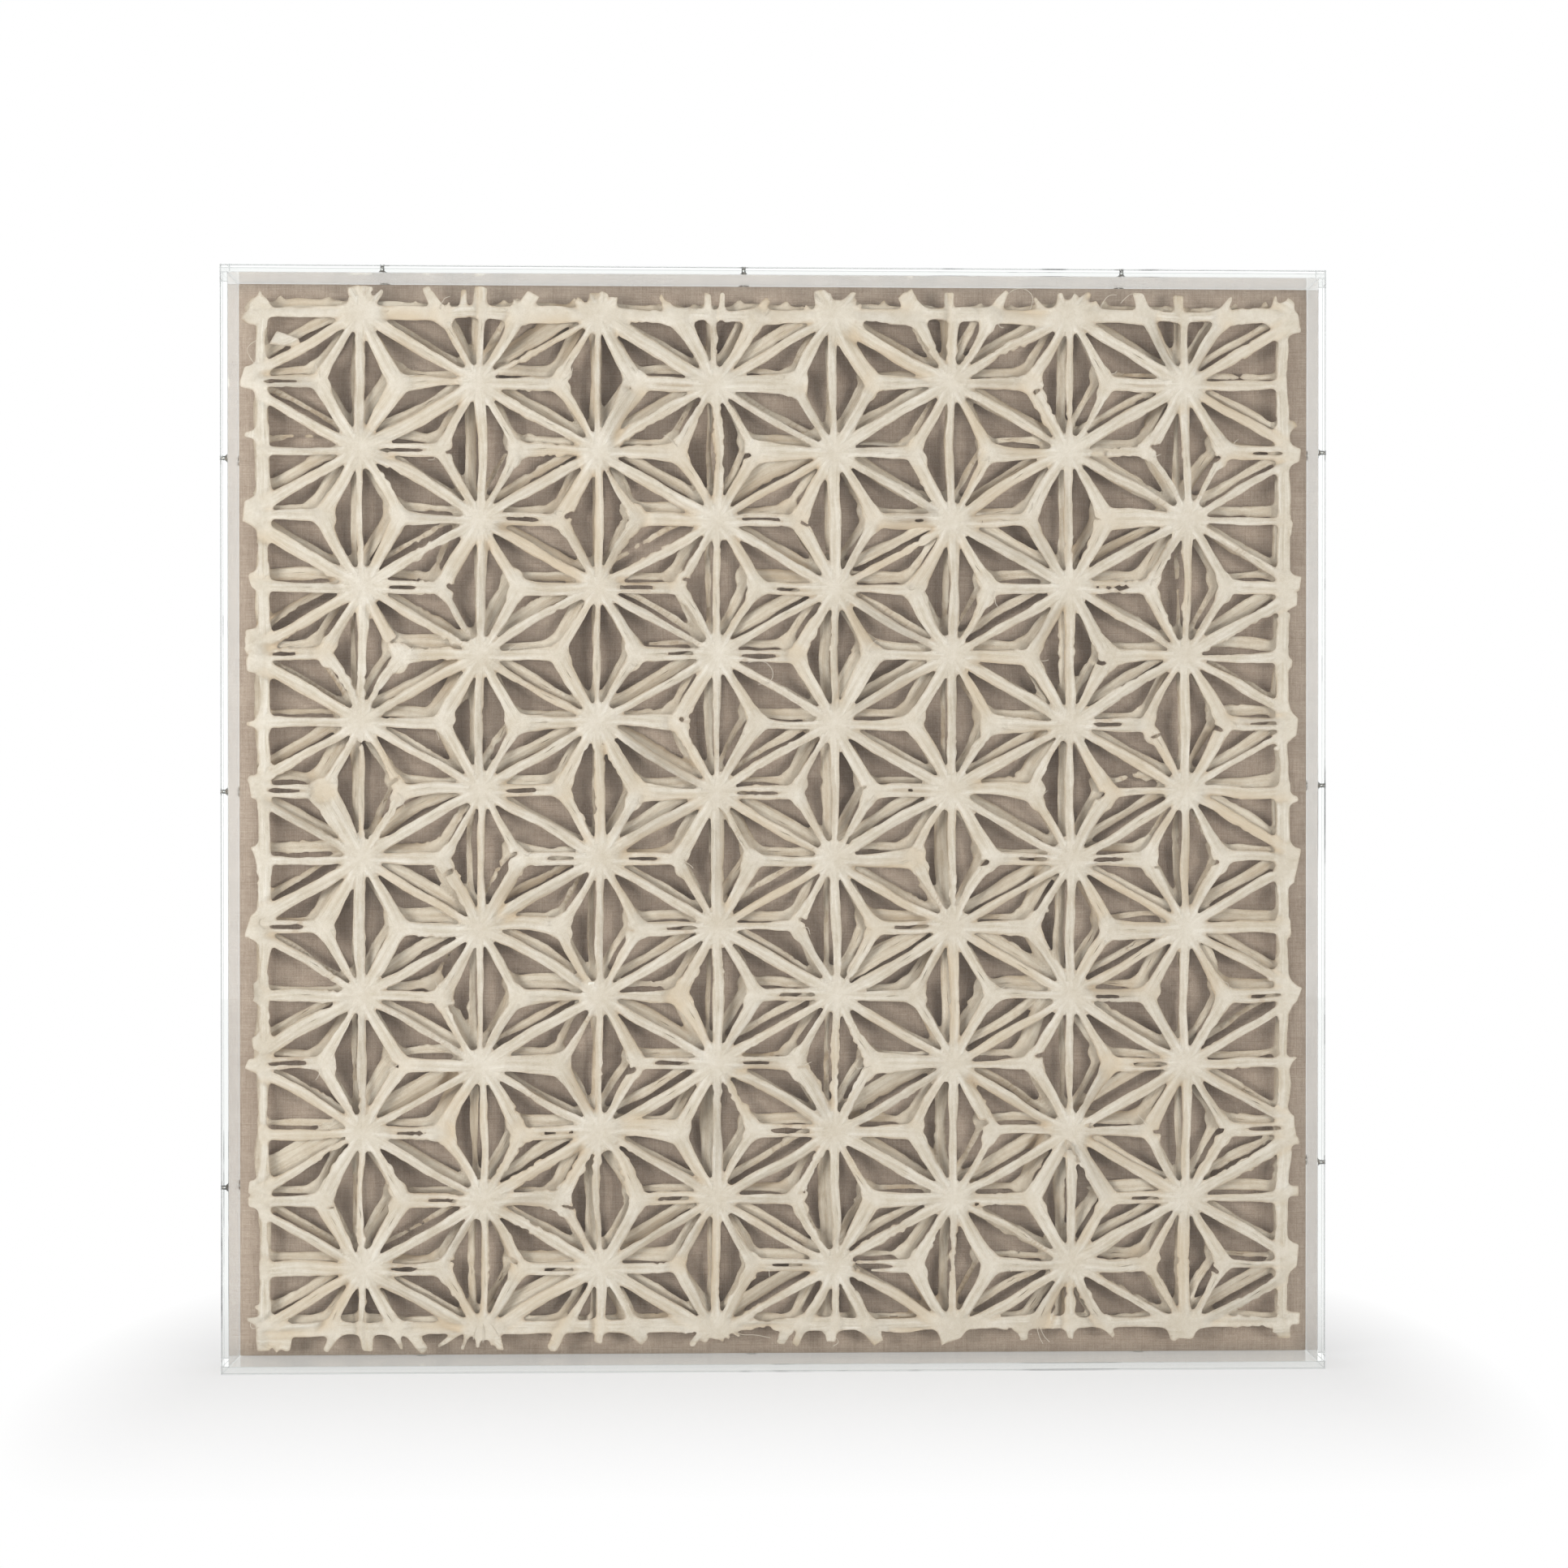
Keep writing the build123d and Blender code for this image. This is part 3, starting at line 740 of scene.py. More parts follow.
def thicken(mesh, thickness):
    """Gives a sheet its thickness, with crisp cut edges."""
    back = new_vertices(bmesh.ops.extrude_face_region(mesh, geom=mesh.faces[:]))
    bmesh.ops.translate(mesh, verts=back, vec=(0, thickness, 0))
    for face in mesh.faces:
        face.smooth = abs(face.normal.y) > 0.4
    for edge in mesh.edges:
        edge.smooth = len({face.smooth for face in edge.link_faces}) < 2
    bmesh.ops.recalc_face_normals(mesh, faces=mesh.faces)


def data_of(mesh, name):
    """A bmesh as the data of an object."""
    data = bpy.data.meshes.new(name)
    mesh.to_mesh(data)
    mesh.free()
    return data


def placed(data, name):
    """An object with some data, in the scene."""
    holder = bpy.data.objects.new(name, data)
    bpy.context.scene.collection.objects.link(holder)
    return holder


def finished(mesh, name, finish):
    """A bmesh as a piece of the part: its finish, and the body it rides on."""
    piece = placed(data_of(mesh, name), name)
    piece.data.materials.append(finish)
    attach(piece, "root")
    return piece


def on_sheet(point, margin=0.0):
    """Whether a point of the pattern is on the sheet, or within a margin past it."""
    return abs(point[0]) < sheet_half_width + margin and abs(point[1]) < sheet_half_height + margin


def is_border(point):
    """Whether a hub lies past the side strip."""
    return abs(point[0]) > strip_half_width


def star_arms():
    """The arms of the pattern, each once: its ends, and its kind."""
    seen = set()
    for corners in star_cells():
        inner = [corner for corner in corners if not is_border(corner)]
        if not inner:
            continue
        edges = [(corners[k], corners[(k + 1) % 3], "long") for k in range(3)]
        if len(inner) == 1:
            side = sheet_half_width if inner[0][0] > 0 else -sheet_half_width
            edges = [edge for edge in edges if not (is_border(edge[0]) and is_border(edge[1]))]
            edges.append((inner[0], (side, inner[0][1]), "straight"))
        else:
            edges += [(corner, middle_of(corners), "short") for corner in corners]
        for start, end, kind in edges:
            key = tuple(round(k, 4) for k in sorted((start, end))[0] + sorted((start, end))[1])
            if key not in seen:
                seen.add(key)
                yield start, end, kind


def way_of(start, end, kind):
    """What an arm's usual width goes by."""
    if abs(start[0] - end[0]) < mm:
        return "upright"
    if kind == "long":
        return kind
    return "level" if abs(start[1] - end[1]) < mm else "slanted"


def nodes_of_pattern():
    """The middles of the cells that have short arms, and the way to the upright arm beside each."""
    for corners in star_cells():
        if sum(is_border(corner) for corner in corners) < 2:
            node = middle_of(corners)
            upright = [c[0] for c in corners if sum(abs(c[0] - d[0]) < mm for d in corners) == 2][0]
            yield node, (1 if upright > node[0] else -1)


def front_sheet():
    """The front sheet: uneven arms, full hubs, and cut ends that stand out past the strip."""
    sheet = Sheet(front_cell, front_seed, front_wander)
    lot = sheet.luck
    split = []
    for start, end, kind in star_arms():
        way = way_of(start, end, kind)
        width = front_widths[way] * mm * exp(lot.normal(0, 0.17))
        wide_end = width * (lot.uniform(1.2, 2.0) if kind == "short" else lot.uniform(0.8, 1.3))
        widths = (width * lot.uniform(0.65, 1.1), width * lot.uniform(0.8, 1.3), wide_end)
        bow = sheet.about(0, 1.2)
        if kind == "short" and way == "level" and lot.random() < split_share:
            widths, bow = split_widths, 0.0
            split.append((start, end))
        sheet.arm(start, end, widths, sheet.some(0.8, 2.4), bow=bow,
                  twist=lot.normal(0, 16), rise=sheet.about(-0.4, 1.1), cup=sheet.some(0.2, 1.1))
    for node, lens_side in nodes_of_pattern():
        if on_sheet(node, 10 * mm):
            sheet.disc(node, sheet.some(5.2, 7.2), node_fillet, lift=sheet.about(0, 1.0),
                       lean=lot.normal(0, 0.12))
            for up in (-1, 1):
                web = (node[0] + lens_side * sheet.some(2.4, 4.8), node[1] + up * sheet.some(3, 8))
                sheet.disc(web, sheet.some(4.4, 6.4), node_fillet)
    for hub in hub_places():
        if on_sheet(hub, hub_margin):
            sheet.disc(hub, hub_reach * lot.uniform(0.9, 1.05), hub_fillet, lift=sheet.about(0.4, 0.4),
                       lean=lot.normal(0, 0.03))
            for _ in range(3):
                aside = toward(hub, lot.uniform(0, 360), sheet.some(6, 9))
                sheet.disc(aside, sheet.some(5.5, 8), hub_fillet)
    trim_to_border(sheet)
    for hub in hub_places():
        crown = (hub[0], hub[1] / abs(hub[1]) * (strip_half_height + 1 * mm))
        if abs(hub[0]) < strip_half_width and dist(hub, crown) < 12 * mm:
            sheet.disc(crown, 9.5 * mm, 5 * mm)
    for x, z, radius in corner_patches:
        sheet.disc((x * mm, z * mm), radius * mm, 3 * mm)
    add_cut_ends(sheet)
    sheet.tab(flap_root, flap_way, 14 * mm, (5 * mm, 11 * mm), 1.5 * mm, slant=0.35, rise=4 * mm)
    for start, end in split:
        aside = sheet.some(-0.5, 0.5)
        a, b = ((start[0] + share * (end[0] - start[0]), start[1] + share * (end[1] - start[1]) + aside)
                for share in (lot.uniform(0.24, 0.32), lot.uniform(0.66, 0.82)))
        sheet.slot(a, b, sheet.some(2.3, 2.9))
    for node, lens_side in nodes_of_pattern():
        if on_sheet(node) and lot.random() < notch_share:
            rim = (node[0] + lens_side * 10 * mm, node[1] + sheet.some(-9, 9))
            tip = (node[0] + lens_side * sheet.some(1, 4), rim[1] + sheet.some(-5, 5))
            width = sheet.some(2, 3.4)
            if abs(node[1]) < strip_half_height - notch_clearance:
                sheet.slot(rim, tip, width)
    return sheet


def add_cut_ends(sheet):
    """Adds the cut ends past the strip, from the table of each side."""
    lot = sheet.luck
    for side, ends in cut_ends.items():
        outward = {"top": 90, "bottom": -90, "left": 180, "right": 0}[side]
        for place, lean, root_width, tip_width, reach in ends:
            if side in ("top", "bottom"):
                root = (place * mm, strip_half_height * (1 if side == "top" else -1))
            else:
                root = (strip_half_width * (1 if side == "right" else -1), place * mm)
            turned = -lean if side in ("top", "left") else lean
            sheet.tab(root, outward + turned, (reach + 0.6) * mm / cos(radians(lean)),
                      (root_width * mm, tip_width * mm), min(4, root_width / 2) * mm,
                      slant=lot.normal(0, 0.25), rise=sheet.about(0, 2.2))


def trim_to_border(sheet, right=0.0, down=0.0):
    """Ends the pattern at the outer edge of the strip, and adds the strip, moved aside from the pattern."""
    x, z = sheet.bent_x - right, sheet.bent_z + down
    past_side, past_end = np.abs(x) - strip_half_width, np.abs(z) - strip_half_height
    past_strip = np.maximum(past_side, past_end)
    corner = np.hypot(np.maximum(past_side, 0), np.maximum(past_end, 0))
    width = strip_width * (1 + 0.3 * waves(x, z, 26 * mm, sheet.seed + 7))
    strip = np.where(past_strip > 0, corner, -past_strip) - width / 2
    sheet.outside = joined(np.maximum(sheet.outside, past_strip - 3 * mm), strip, 4 * mm)
    upright = past_side > past_end
    on_strip = strip < sheet.nearest
    sheet.along = np.where(on_strip, np.where(upright, z, x), sheet.along)
    sheet.across = np.where(on_strip, np.where(upright, x, z), sheet.across)
    seam = np.minimum(np.abs(strip - sheet.nearest), np.where(on_strip, np.abs(past_side - past_end), far))
    clear_of_seam = eased((seam - 2.5 * mm) / (3 * mm))
    sheet.arm_share = np.where(on_strip, clear_of_seam, sheet.arm_share * clear_of_seam)


def settle(sheet, rest):
    """Lays the sheet flat on its pads round each hub, rest in front of its middle, and keeps every end inside
    the box."""
    for hub in hub_places():
        if not on_sheet(hub, hub_margin):
            continue
        here = sheet.window([hub], flat_reach + easing_reach + 2 * mm)
        reach = np.hypot(sheet.bent_x[here] - hub[0], sheet.bent_z[here] - hub[1])
        loose = eased((reach - flat_reach) / easing_reach)
        sheet.lift[here] = sheet.lift[here] * loose + rest * (1 - loose)
    wall = np.maximum(np.abs(sheet.x) - sheet_half_width, np.abs(sheet.z) - sheet_half_height) - 3 * mm
    sheet.outside = np.maximum(sheet.outside, wall)


def roughen(sheet, amount):
    """Uneven edges: long waves, short nicks, and tears in places."""
    x, z = sheet.x, sheet.z
    torn = eased(waves(x, z, 24 * mm, sheet.seed + 8) * 2.4 - 1.0)
    for size, depth, torn_depth, offset in ((21, 0.7, 0.0, 9), (7, 0.3, 0.5, 11), (2.6, 0.12, 1.3, 10)):
        height = waves(x, z, size * mm, sheet.seed + offset)
        sheet.outside = sheet.outside + amount * (depth + torn_depth * torn) * mm * height


def rear_sheet():
    """The rear sheet: the same pattern moved up and to the left, with looser, twisted arms."""
    sheet = Sheet(rear_cell, rear_seed, rear_wander, rear_left, rear_up)
    lot = sheet.luck
    for start, end, kind in star_arms():
        if kind == "straight":
            end = (end[0] / sheet_half_width * strip_half_width, end[1])
        width = rear_widths[way_of(start, end, kind)] * mm * exp(lot.normal(0, 0.28))
        widths = (width * lot.uniform(0.9, 1.2), width * lot.uniform(0.7, 1.6), width * lot.uniform(0.9, 1.4))
        sheet.arm(start, end, widths, sheet.some(3, 6), bow=sheet.about(0, 1.6),
                  twist=lot.normal(0, 24), rise=sheet.about(0, 1.4), cup=sheet.some(-0.6, 1.0))
    for node, lens_side in nodes_of_pattern():
        if on_sheet(node):
            sheet.disc(node, 5.2 * mm, rear_fillet, lift=sheet.about(0, 1.0), lean=lot.normal(0, 0.12))
            sheet.disc((node[0] + lens_side * 3 * mm, node[1]), 5.0 * mm, 5 * mm)
    for hub in hub_places():
        if on_sheet(hub):
            sheet.disc(hub, hub_reach, rear_fillet, lift=sheet.about(0, 0.3), lean=lot.normal(0, 0.03))
    trim_to_border(sheet, rear_strip_right, rear_strip_down)
    for place in np.arange(-sheet_half_width, sheet_half_width, rear_tab_pitch):
        root = (place + sheet.some(-11, 11), strip_half_height - rear_strip_down)
        sheet.tab(root, 90 + lot.uniform(-35, 35), sheet.some(5, 10),
                  (sheet.some(3, 8), sheet.some(1, 4)), 3 * mm, slant=lot.normal(0, 0.3),
                  rise=sheet.about(0, 1.5))
    return sheet


front = front_sheet()
roughen(front, amount=1.0)
settle(front, rest=0.5 * mm)
front_pieces = paper_bands(front, "front_paper_band", front_sheet_y, bands=3, curl=0.2 * mm,
                           finish=front_paper_finish)
rear = rear_sheet()
roughen(rear, amount=1.2)
settle(rear, rest=0.2 * mm)
rear_pieces = paper_bands(rear, "rear_paper_band", rear_sheet_y, bands=2, curl=0.3 * mm,
                          finish=shaded_rear_paper_finish)
for piece in front_pieces:
    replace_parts(piece, "front_paper")
for piece in rear_pieces:
    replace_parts(piece, "rear_paper")


# Loose fibres, in millimetres from the middle of the sheets: the points of each from its root, then its reach
# in front of the sheet
loose_fibres = (
    (((168, 384), (173, 391), (184, 392), (191, 384), (187, 376)), 2.0),
    (((238, 374), (240, 381), (246, 388), (251, 387)), 2.5),
    (((254, 381), (258, 386), (264, 389), (267, 385)), 2.0),
    (((-380, -364), (-385, -367), (-384, -373), (-379, -371)), 1.5),
    (((-36, -372), (-28, -379), (-14, -378), (-4, -381)), 1.5),
    (((33, -375), (38, -381), (44, -380), (47, -385), (42, -387)), 2.0),
    (((181, -374), (184, -380), (189, -379)), 1.5),
    (((195, -374), (197, -381), (202, -385)), 1.0),
    (((193, -374), (193, -380), (197, -386)), 2.0),
    (((-216, -366), (-221, -372), (-222, -381)), 1.5),
    (((-216, -366), (-213, -374), (-215, -383)), 2.5),
    (((-213, -366), (-206, -372), (-203, -380)), 1.5),
    (((-376, 352), (-384, 349), (-387, 341), (-380, 333)), 2.0),
    (((-371, -72), (-377, -71), (-379, -77), (-373, -80)), 2.0),
    (((-20, 116), (-10, 119), (-1, 110), (-4, 100), (-13, 100)), 3.0),
    (((-196, 124), (-190, 130), (-183, 127), (-185, 120)), 2.5),
)
fibre_radius = 0.2 * mm
random_fibres = 60  # short ones, at nodes drawn at random


def strands(lines, radius):
    """Thin round strands along smooth lines."""
    curve = bpy.data.curves.new("strands", "CURVE")
    curve.dimensions = "3D"
    curve.bevel_depth = radius
    curve.bevel_resolution = 1
    curve.resolution_u = 5
    curve.use_fill_caps = True
    for line in lines:
        spline = curve.splines.new("NURBS")
        spline.points.add(len(line) - 1)
        for point, place in zip(spline.points, line):
            point.co = (*place, 1.0)
        spline.order_u = 3
        spline.use_endpoint_u = True
    holder = bpy.data.objects.new("strands", curve)
    data = bpy.data.meshes.new_from_object(holder)
    bpy.data.objects.remove(holder)
    bpy.data.curves.remove(curve)
    mesh = bmesh.new()
    mesh.from_mesh(data)
    bpy.data.meshes.remove(data)
    for face in mesh.faces:
        face.smooth = True
    return mesh


def fibre_lines():
    """The loose fibres that show from the front, and short ones at random nodes."""
    lines = []
    for points, reach in loose_fibres:
        steps = len(points) - 1
        lines.append([(x * mm, front_sheet_y - reach * mm * sin(pi * k / steps * 0.8), middle_z + z * mm)
                      for k, (x, z) in enumerate(points)])
    nodes = [node for node, _ in nodes_of_pattern() if on_sheet(node, -14 * mm)]
    for k in luck.choice(len(nodes), random_fibres, replace=False):
        heading, y = luck.uniform(0, 360), front_sheet_y
        place = toward(nodes[k], heading, 3 * mm)
        line = [(place[0], y, middle_z + place[1])]
        for _ in range(4):
            heading += luck.normal(0, 45)
            place = toward(place, heading, luck.uniform(1.5, 4.0) * mm)
            y -= luck.uniform(-0.3, 1.0) * mm
            line.append((place[0], y, middle_z + place[1]))
        lines.append(line)
    return lines


loose = finished(strands(fibre_lines(), fibre_radius), "loose_fibres", front_paper_finish)


def turned(profile, segments):
    """A closed form turned round the Z axis, from the distances and heights of its profile."""
    mesh = bmesh.new()
    line = [mesh.verts.new((reach, 0, height)) for reach, height in profile]
    edges = [mesh.edges.new(pair) for pair in zip(line, line[1:])]
    bmesh.ops.spin(mesh, geom=line + edges, cent=(0, 0, 0), axis=(0, 0, 1), dvec=(0, 0, 0), angle=2 * pi,
                   steps=segments, use_merge=True)
    bmesh.ops.remove_doubles(mesh, verts=mesh.verts, dist=1e-6)
    bmesh.ops.recalc_face_normals(mesh, faces=mesh.faces)
    return mesh


def round_edges(mesh, reach, segments):
    """Bevels all edges of a solid."""
    bmesh.ops.bevel(mesh, geom=mesh.edges[:], offset=reach, segments=segments, profile=0.5, affect="EDGES",
                    material=-1)


def block(low, high, bevel):
    """A block with fine bevels along its edges."""
    middle, size = [(a + b) / 2 for a, b in zip(low, high)], [b - a for a, b in zip(low, high)]
    mesh = bmesh.new()
    bmesh.ops.create_cube(mesh, size=1.0, matrix=Matrix.Translation(middle) @ Matrix.Diagonal((*size, 1.0)))
    if bevel:
        round_edges(mesh, bevel, 1)
    return mesh


def copies(mesh, matrices):
    """One mesh with a copy of another at each place."""
    data = data_of(mesh, "copies")
    gathered = bmesh.new()
    for matrix in matrices:
        known = len(gathered.verts)
        gathered.from_mesh(data)
        gathered.verts.ensure_lookup_table()
        bmesh.ops.transform(gathered, matrix=matrix, verts=gathered.verts[known:])
    bpy.data.meshes.remove(data)
    return gathered


def cut(mesh, cutter):
    """A mesh with another taken out of it."""
    holders = [placed(data_of(part, name), name) for name, part in (("body", mesh), ("cutter", cutter))]
    boolean = holders[0].modifiers.new("cut", "BOOLEAN")
    boolean.operation = "DIFFERENCE"
    boolean.solver = "EXACT"
    boolean.object = holders[1]
    bpy.context.view_layer.update()
    result = bmesh.new()
    result.from_mesh(holders[0].evaluated_get(bpy.context.evaluated_depsgraph_get()).to_mesh())
    for holder in holders:
        data = holder.data
        bpy.data.objects.remove(holder)
        bpy.data.meshes.remove(data)
    return result


# Screws through the walls: each wall's places in millimetres from its middle, as in the part's source, and
# where its outside is
screw_y = (board_low.y + board_high.y) / 2
shank_radius = 1.5 * mm
head_radius = 3.9 * mm
head_depth = 2.76 * mm
screw_length = 20 * mm
drive_reach = 1.9 * mm
bore_clearance = 0.15 * mm
polish = 0.35 * mm
walls = {
    "top": ((-288, -23.5, 255), Matrix.Translation((0, screw_y, panel_high.z))),
    "bottom": ((-262, -18, 270), Matrix.Translation((0, screw_y, panel_low.z)) @ Matrix.Rotation(pi, 4, "X")),
    "left": ((-269, 21, 265),
             Matrix.Translation((-box_width / 2, screw_y, middle_z)) @ Matrix.Rotation(-pi / 2, 4, "Y")),
    "right": ((-253, 26, 272),
              Matrix.Translation((box_width / 2, screw_y, middle_z)) @ Matrix.Rotation(pi / 2, 4, "Y")),
}
wall_gap = 0.03 * mm

# The screws' threads, and how deep they go as a share of the shank's radius
screw_pitch = 1.1 * mm
thread_root = 0.76


def screw_places(side):
    """Where a wall's screws go, each with its head's face on the wall's outside."""
    drilled, outside = walls[side]
    sign = -1 if side == "right" else 1
    return [outside @ Matrix.Translation((sign * place * mm, 0, 0)) for place in drilled]


def with_cross_drive(screw, reach, depth):
    """A screw with a cross-shaped drive cut in its face, a little narrower at its bottom."""
    for turn in (pi / 4, 3 * pi / 4):
        arm = bmesh.new()
        bmesh.ops.create_cone(arm, cap_ends=True, segments=4, radius1=reach * 0.5, radius2=reach, depth=depth,
                              matrix=Matrix.Rotation(pi / 4, 4, "Z"))
        bmesh.ops.scale(arm, vec=(1, 0.24, 1), verts=arm.verts)
        bmesh.ops.rotate(arm, cent=(0, 0, 0), matrix=Matrix.Rotation(turn, 3, "Z"), verts=arm.verts)
        screw = cut(screw, arm)
    return screw


def screw(head, drive, length):
    """A screw with its face at z = 0, from its head's profile, with threads below."""
    threads = []
    height = head[-1][1] - 1.5 * mm
    while height > -length + 2.5 * mm:
        threads += [(shank_radius, height), (thread_root * shank_radius, height - screw_pitch / 2)]
        height -= screw_pitch
    tip = [(thread_root * shank_radius, -length + 2 * mm), (0.0, -length)]
    return with_cross_drive(turned([(0.0, 0.0), *head, *threads, *tip], 20), drive, 1.8 * mm)


def turned_at_random(places):
    """Places of screws, each turned by its own angle."""
    return [place @ Matrix.Rotation(luck.uniform(0, pi), 4, "Z") for place in places]


def paint_bevels(piece):
    """Gives a clear piece's bevels their own finish."""
    piece.data.materials.append(clear_edge)
    for face in piece.data.polygons:
        if max(abs(part) for part in face.normal) < 0.95:
            face.material_index = 1


flat_head = [(head_radius - 0.2 * mm, 0.0), (head_radius, -0.15 * mm), (shank_radius, -head_depth)]
bore_radius = shank_radius + bore_clearance
bore = [(0.0, 0.3 * mm), (head_radius + 0.45 * mm, 0.3 * mm), (bore_radius, -head_depth),
        (bore_radius, -acrylic - 1 * mm), (0.0, -acrylic - 1 * mm)]
for side in walls:
    low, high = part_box(side + "_wall")
    low, high = Vector(low) + Vector((0, wall_gap, 0)), Vector(high)
    if side in ("left", "right"):
        low.z, high.z = low.z + wall_gap, high.z - wall_gap
    places = screw_places(side)
    wall = cut(block(low, high, polish), copies(turned(bore, 24), places))
    piece = finished(wall, side + "_clear_wall", clear_wall)
    paint_bevels(piece)
    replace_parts(piece, side + "_wall")
    screws = copies(screw(flat_head, drive_reach, screw_length), turned_at_random(places))
    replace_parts(finished(screws, side + "_wall_screws", screw_steel), side + "_screws")
panel = finished(block(panel_low, panel_high, polish), "clear_front_panel", clear_wall)
paint_bevels(panel)
panel.data.materials.append(clear_front)
for face in panel.data.polygons:
    if abs(face.normal.y) > 0.9:
        face.material_index = 2
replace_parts(panel, "front_panel")


def softened(node, bevel, segments):
    """A CAD node's form with its edges rounded."""
    mesh = bmesh.new()
    mesh.from_mesh(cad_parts[node].data)
    bmesh.ops.remove_doubles(mesh, verts=mesh.verts, dist=1e-6)
    bmesh.ops.dissolve_limit(mesh, angle_limit=radians(1), verts=mesh.verts, edges=mesh.edges)
    round_edges(mesh, bevel, segments)
    return mesh


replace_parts(finished(softened("front_pads", 0.8 * mm, 2), "front_foam_pads", pad_foam), "front_pads")
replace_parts(finished(softened("rear_pads", 0.8 * mm, 2), "rear_foam_pads", pad_foam), "rear_pads")
bumpers = softened("wall_bumpers", 1.3 * mm, 3)
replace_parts(finished(bumpers, "rubber_bumpers", bumper_rubber), "wall_bumpers")


# Linen: stretched over the board's face and edges, and turned in round the back
linen_turn_in = 28 * mm
linen_thickness = board_low.y - linen_low.y


def stretched_linen():
    """The linen as one sheet, with mitred corners at the back."""
    half = linen_thickness / 2
    width = linen_high.x - linen_low.x - 2 * half
    height = linen_high.z - linen_low.z - 2 * half
    deep = linen_high.y - linen_low.y - 2 * half
    upright = Matrix.Translation((0, linen_low.y + half, middle_z)) @ Matrix.Rotation(pi / 2, 4, "X")
    mesh = bmesh.new()
    bmesh.ops.create_grid(mesh, x_segments=60, y_segments=60, size=0.5,
                          matrix=upright @ Matrix.Diagonal((width, height, 1.0, 1.0)))
    for face in mesh.faces:
        face.smooth = True
    rim = [edge for edge in mesh.edges if edge.is_boundary]
    for turned_in in (0.0, linen_turn_in):
        grown = bmesh.ops.extrude_edge_only(mesh, edges=rim)
        line = new_vertices(grown)
        rim = [part for part in grown["geom"] if isinstance(part, bmesh.types.BMEdge) and part.is_boundary]
        if turned_in:
            narrower = (1 - 2 * turned_in / width, 1, 1 - 2 * turned_in / height)
            bmesh.ops.scale(mesh, vec=narrower, space=Matrix.Translation((0, 0, -middle_z)), verts=line)
        else:
            bmesh.ops.translate(mesh, vec=(0, deep, 0), verts=line)
    bmesh.ops.recalc_face_normals(mesh, faces=mesh.faces)
    piece = finished(mesh, "stretched_linen", linen)
    cloth = piece.modifiers.new("thickness", "SOLIDIFY")
    cloth.thickness = linen_thickness * 0.8
    cloth.offset = 0.0
    return piece


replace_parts(stretched_linen(), "linen_cover")


# Hangers: pressed plates with a keyhole, held by pan-head screws
keyhole_radius = 5 * mm
keyhole_slot_radius = 2.5 * mm
keyhole_slot_length = 11 * mm
hanger_screw_spacing = 36 * mm
facing_back = Matrix.Rotation(-pi / 2, 4, "X")
pan_screw_length = 9.4 * mm
pan_drive_reach = 1.5 * mm
pan_height = 1.4 * mm
pan_head = [(1.5 * mm, 0.0), (2.4 * mm, -0.25 * mm), (2.8 * mm, -0.75 * mm), (2.8 * mm, -pan_height),
            (shank_radius, -pan_height)]


def round_cutter(radius, depth):
    """A round bar along Z, to drill a plate with."""
    return turned([(0.0, depth), (radius, depth), (radius, -depth), (0.0, -depth)], 24)


def hanger(side):
    """A keyhole plate with rounded edges, and where its two screws go."""
    low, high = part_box(side + "_hanger")
    x, z = (low.x + high.x) / 2, (low.z + high.z) / 2
    middle = Matrix.Translation((x, high.y, z)) @ facing_back
    drop, past = keyhole_slot_length / 2, 1 * mm
    slot = block((x - keyhole_slot_radius, low.y - past, z - drop),
                 (x + keyhole_slot_radius, high.y + past, z + drop), 0)
    plate = cut(block(low, high, 0.3 * mm), slot)
    holes = [(keyhole_radius, drop), (keyhole_slot_radius, -drop)]
    holes += [(bore_radius, up * hanger_screw_spacing / 2) for up in (-1, 1)]
    for radius, down in holes:
        drill = copies(round_cutter(radius, 3 * mm), [middle @ Matrix.Translation((0, down, 0))])
        plate = cut(plate, drill)
    screws = [Matrix.Translation((0, pan_height, up * hanger_screw_spacing / 2)) @ middle for up in (-1, 1)]
    return plate, screws


hanger_screw_places = []
for side in ("left", "right"):
    plate, places = hanger(side)
    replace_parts(finished(plate, side + "_keyhole_plate", hanger_steel), side + "_hanger")
    hanger_screw_places += turned_at_random(places)
pan_screws = copies(screw(pan_head, pan_drive_reach, pan_screw_length), hanger_screw_places)
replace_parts(finished(pan_screws, "pan_head_screws", screw_steel), "hanger_screws")


# The board is the one node that stays
kept_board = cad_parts["backing_board"].data
kept_board.materials.clear()
kept_board.materials.append(board)


def floor_finish():
    """Pale floor: it shows the object's shadow near it, and is plain white further off."""
    finish = Finish("floor")
    place = finish.place()
    axes = finish.add("SeparateXYZ", {}, {"Vector": place})
    beside = (axes.math("ABSOLUTE") - box_width / 2).math("MAXIMUM", 0.0) * 4
    away = (beside ** 2 + axes.out("Y") ** 2).math("SQRT")
    whitened = (away * 0.95 + 0.5).clamped()
    matt = finish.add("BsdfDiffuse", {}, {"Color": (0.93, 0.93, 0.93, 1.0)})
    rays = finish.add("LightPath")
    seen = rays.out("Is Camera Ray").math("MAXIMUM", rays.out("Is Glossy Ray"))
    seen = seen.math("MAXIMUM", rays.out("Is Transmission Ray"))
    white = finish.add("Emission", {}, {"Color": (1.0, 1.0, 1.0, 1.0), "Strength": 1.0})
    return finish.surface(finish.between(whitened * seen, matt, white))


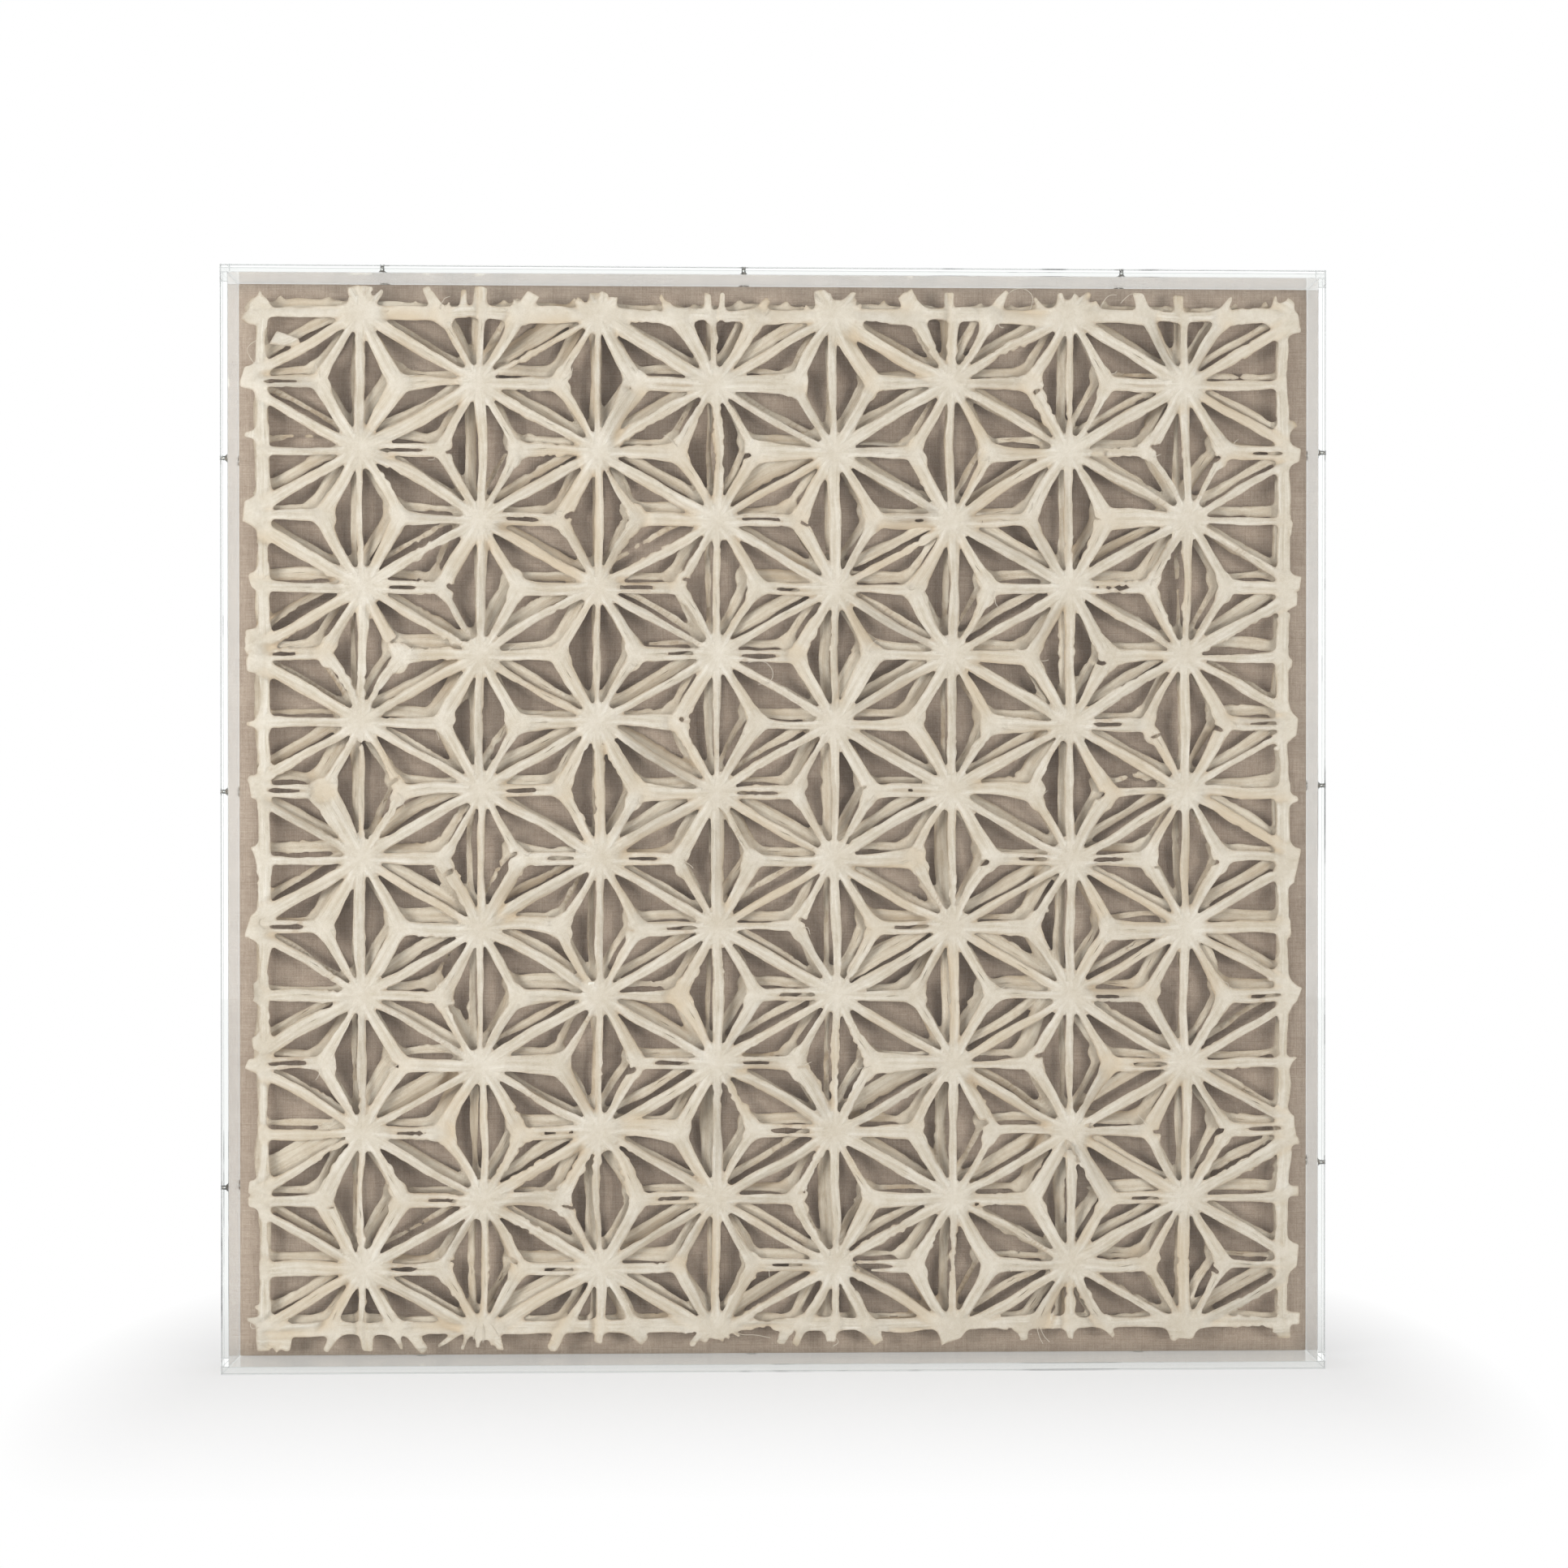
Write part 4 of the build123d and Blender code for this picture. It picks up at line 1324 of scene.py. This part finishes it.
def studio():
    """Floor, white surroundings, soft lamps and the camera."""
    mesh = bmesh.new()
    bmesh.ops.create_grid(mesh, x_segments=1, y_segments=1, size=floor_half_width)
    floor = placed(data_of(mesh, "floor"), "floor")
    floor.data.materials.append(floor_finish())

    world = bpy.data.worlds.new("surroundings")
    bpy.context.scene.world = world
    sky = Finish("surroundings", world)
    rays = sky.add("LightPath")
    seen = rays.out("Is Camera Ray").math("MAXIMUM", rays.out("Is Glossy Ray"))
    beyond = rays.out("Is Transmission Ray")
    strength = (seen * (1 - world_strength) + world_strength).math("MAXIMUM", beyond * world_through_clear)
    white = sky.add("Background", {}, {"Color": (1.0, 1.0, 1.0, 1.0), "Strength": strength})
    sky.add("OutputWorld", {}, {"Surface": white})

    for name, place, size, power in lamps:
        lamp = bpy.data.lights.new(name, "AREA")
        lamp.shape = "RECTANGLE"
        lamp.size, lamp.size_y = size
        lamp.energy = power
        holder = placed(lamp, name)
        holder.location = place
        aim = Vector((0, 0, middle_z)) - Vector(place)
        holder.rotation_euler = aim.to_track_quat("-Z", "Y").to_euler()
        holder.visible_glossy = False

    camera = bpy.data.cameras.new("camera")
    camera.sensor_width = 36.0
    camera.lens = camera_lens
    camera.shift_x, camera.shift_y = camera_shift
    camera.clip_end = 50.0
    holder = placed(camera, "camera")
    holder.location = camera_place
    holder.rotation_euler = (radians(90 + camera_pitch), 0, radians(-camera_yaw))
    bpy.context.scene.camera = holder
    bpy.context.scene.view_settings.view_transform = "Standard"


floor_half_width = 6.0

# Camera, found from the box's corners and screw marks in the photograph
camera_place = (-0.0145, front_y - 2.5409, 0.3856)
camera_yaw = 2.073
camera_pitch = -0.422
camera_lens = 80.54
camera_shift = (-0.0632, 0.0522)

# Light: the world's strength on surfaces and as seen through the clear walls, then each lamp's name, place,
# size and power in watts
world_strength = 0.5
world_through_clear = 1.15
lamps = (
    ("left_lamp", (-2.4, -2.2, 0.6), (1.4, 1.2), 71.0),
    ("right_lamp", (2.2, -2.6, 0.35), (1.4, 0.6), 44.5),
)
studio()
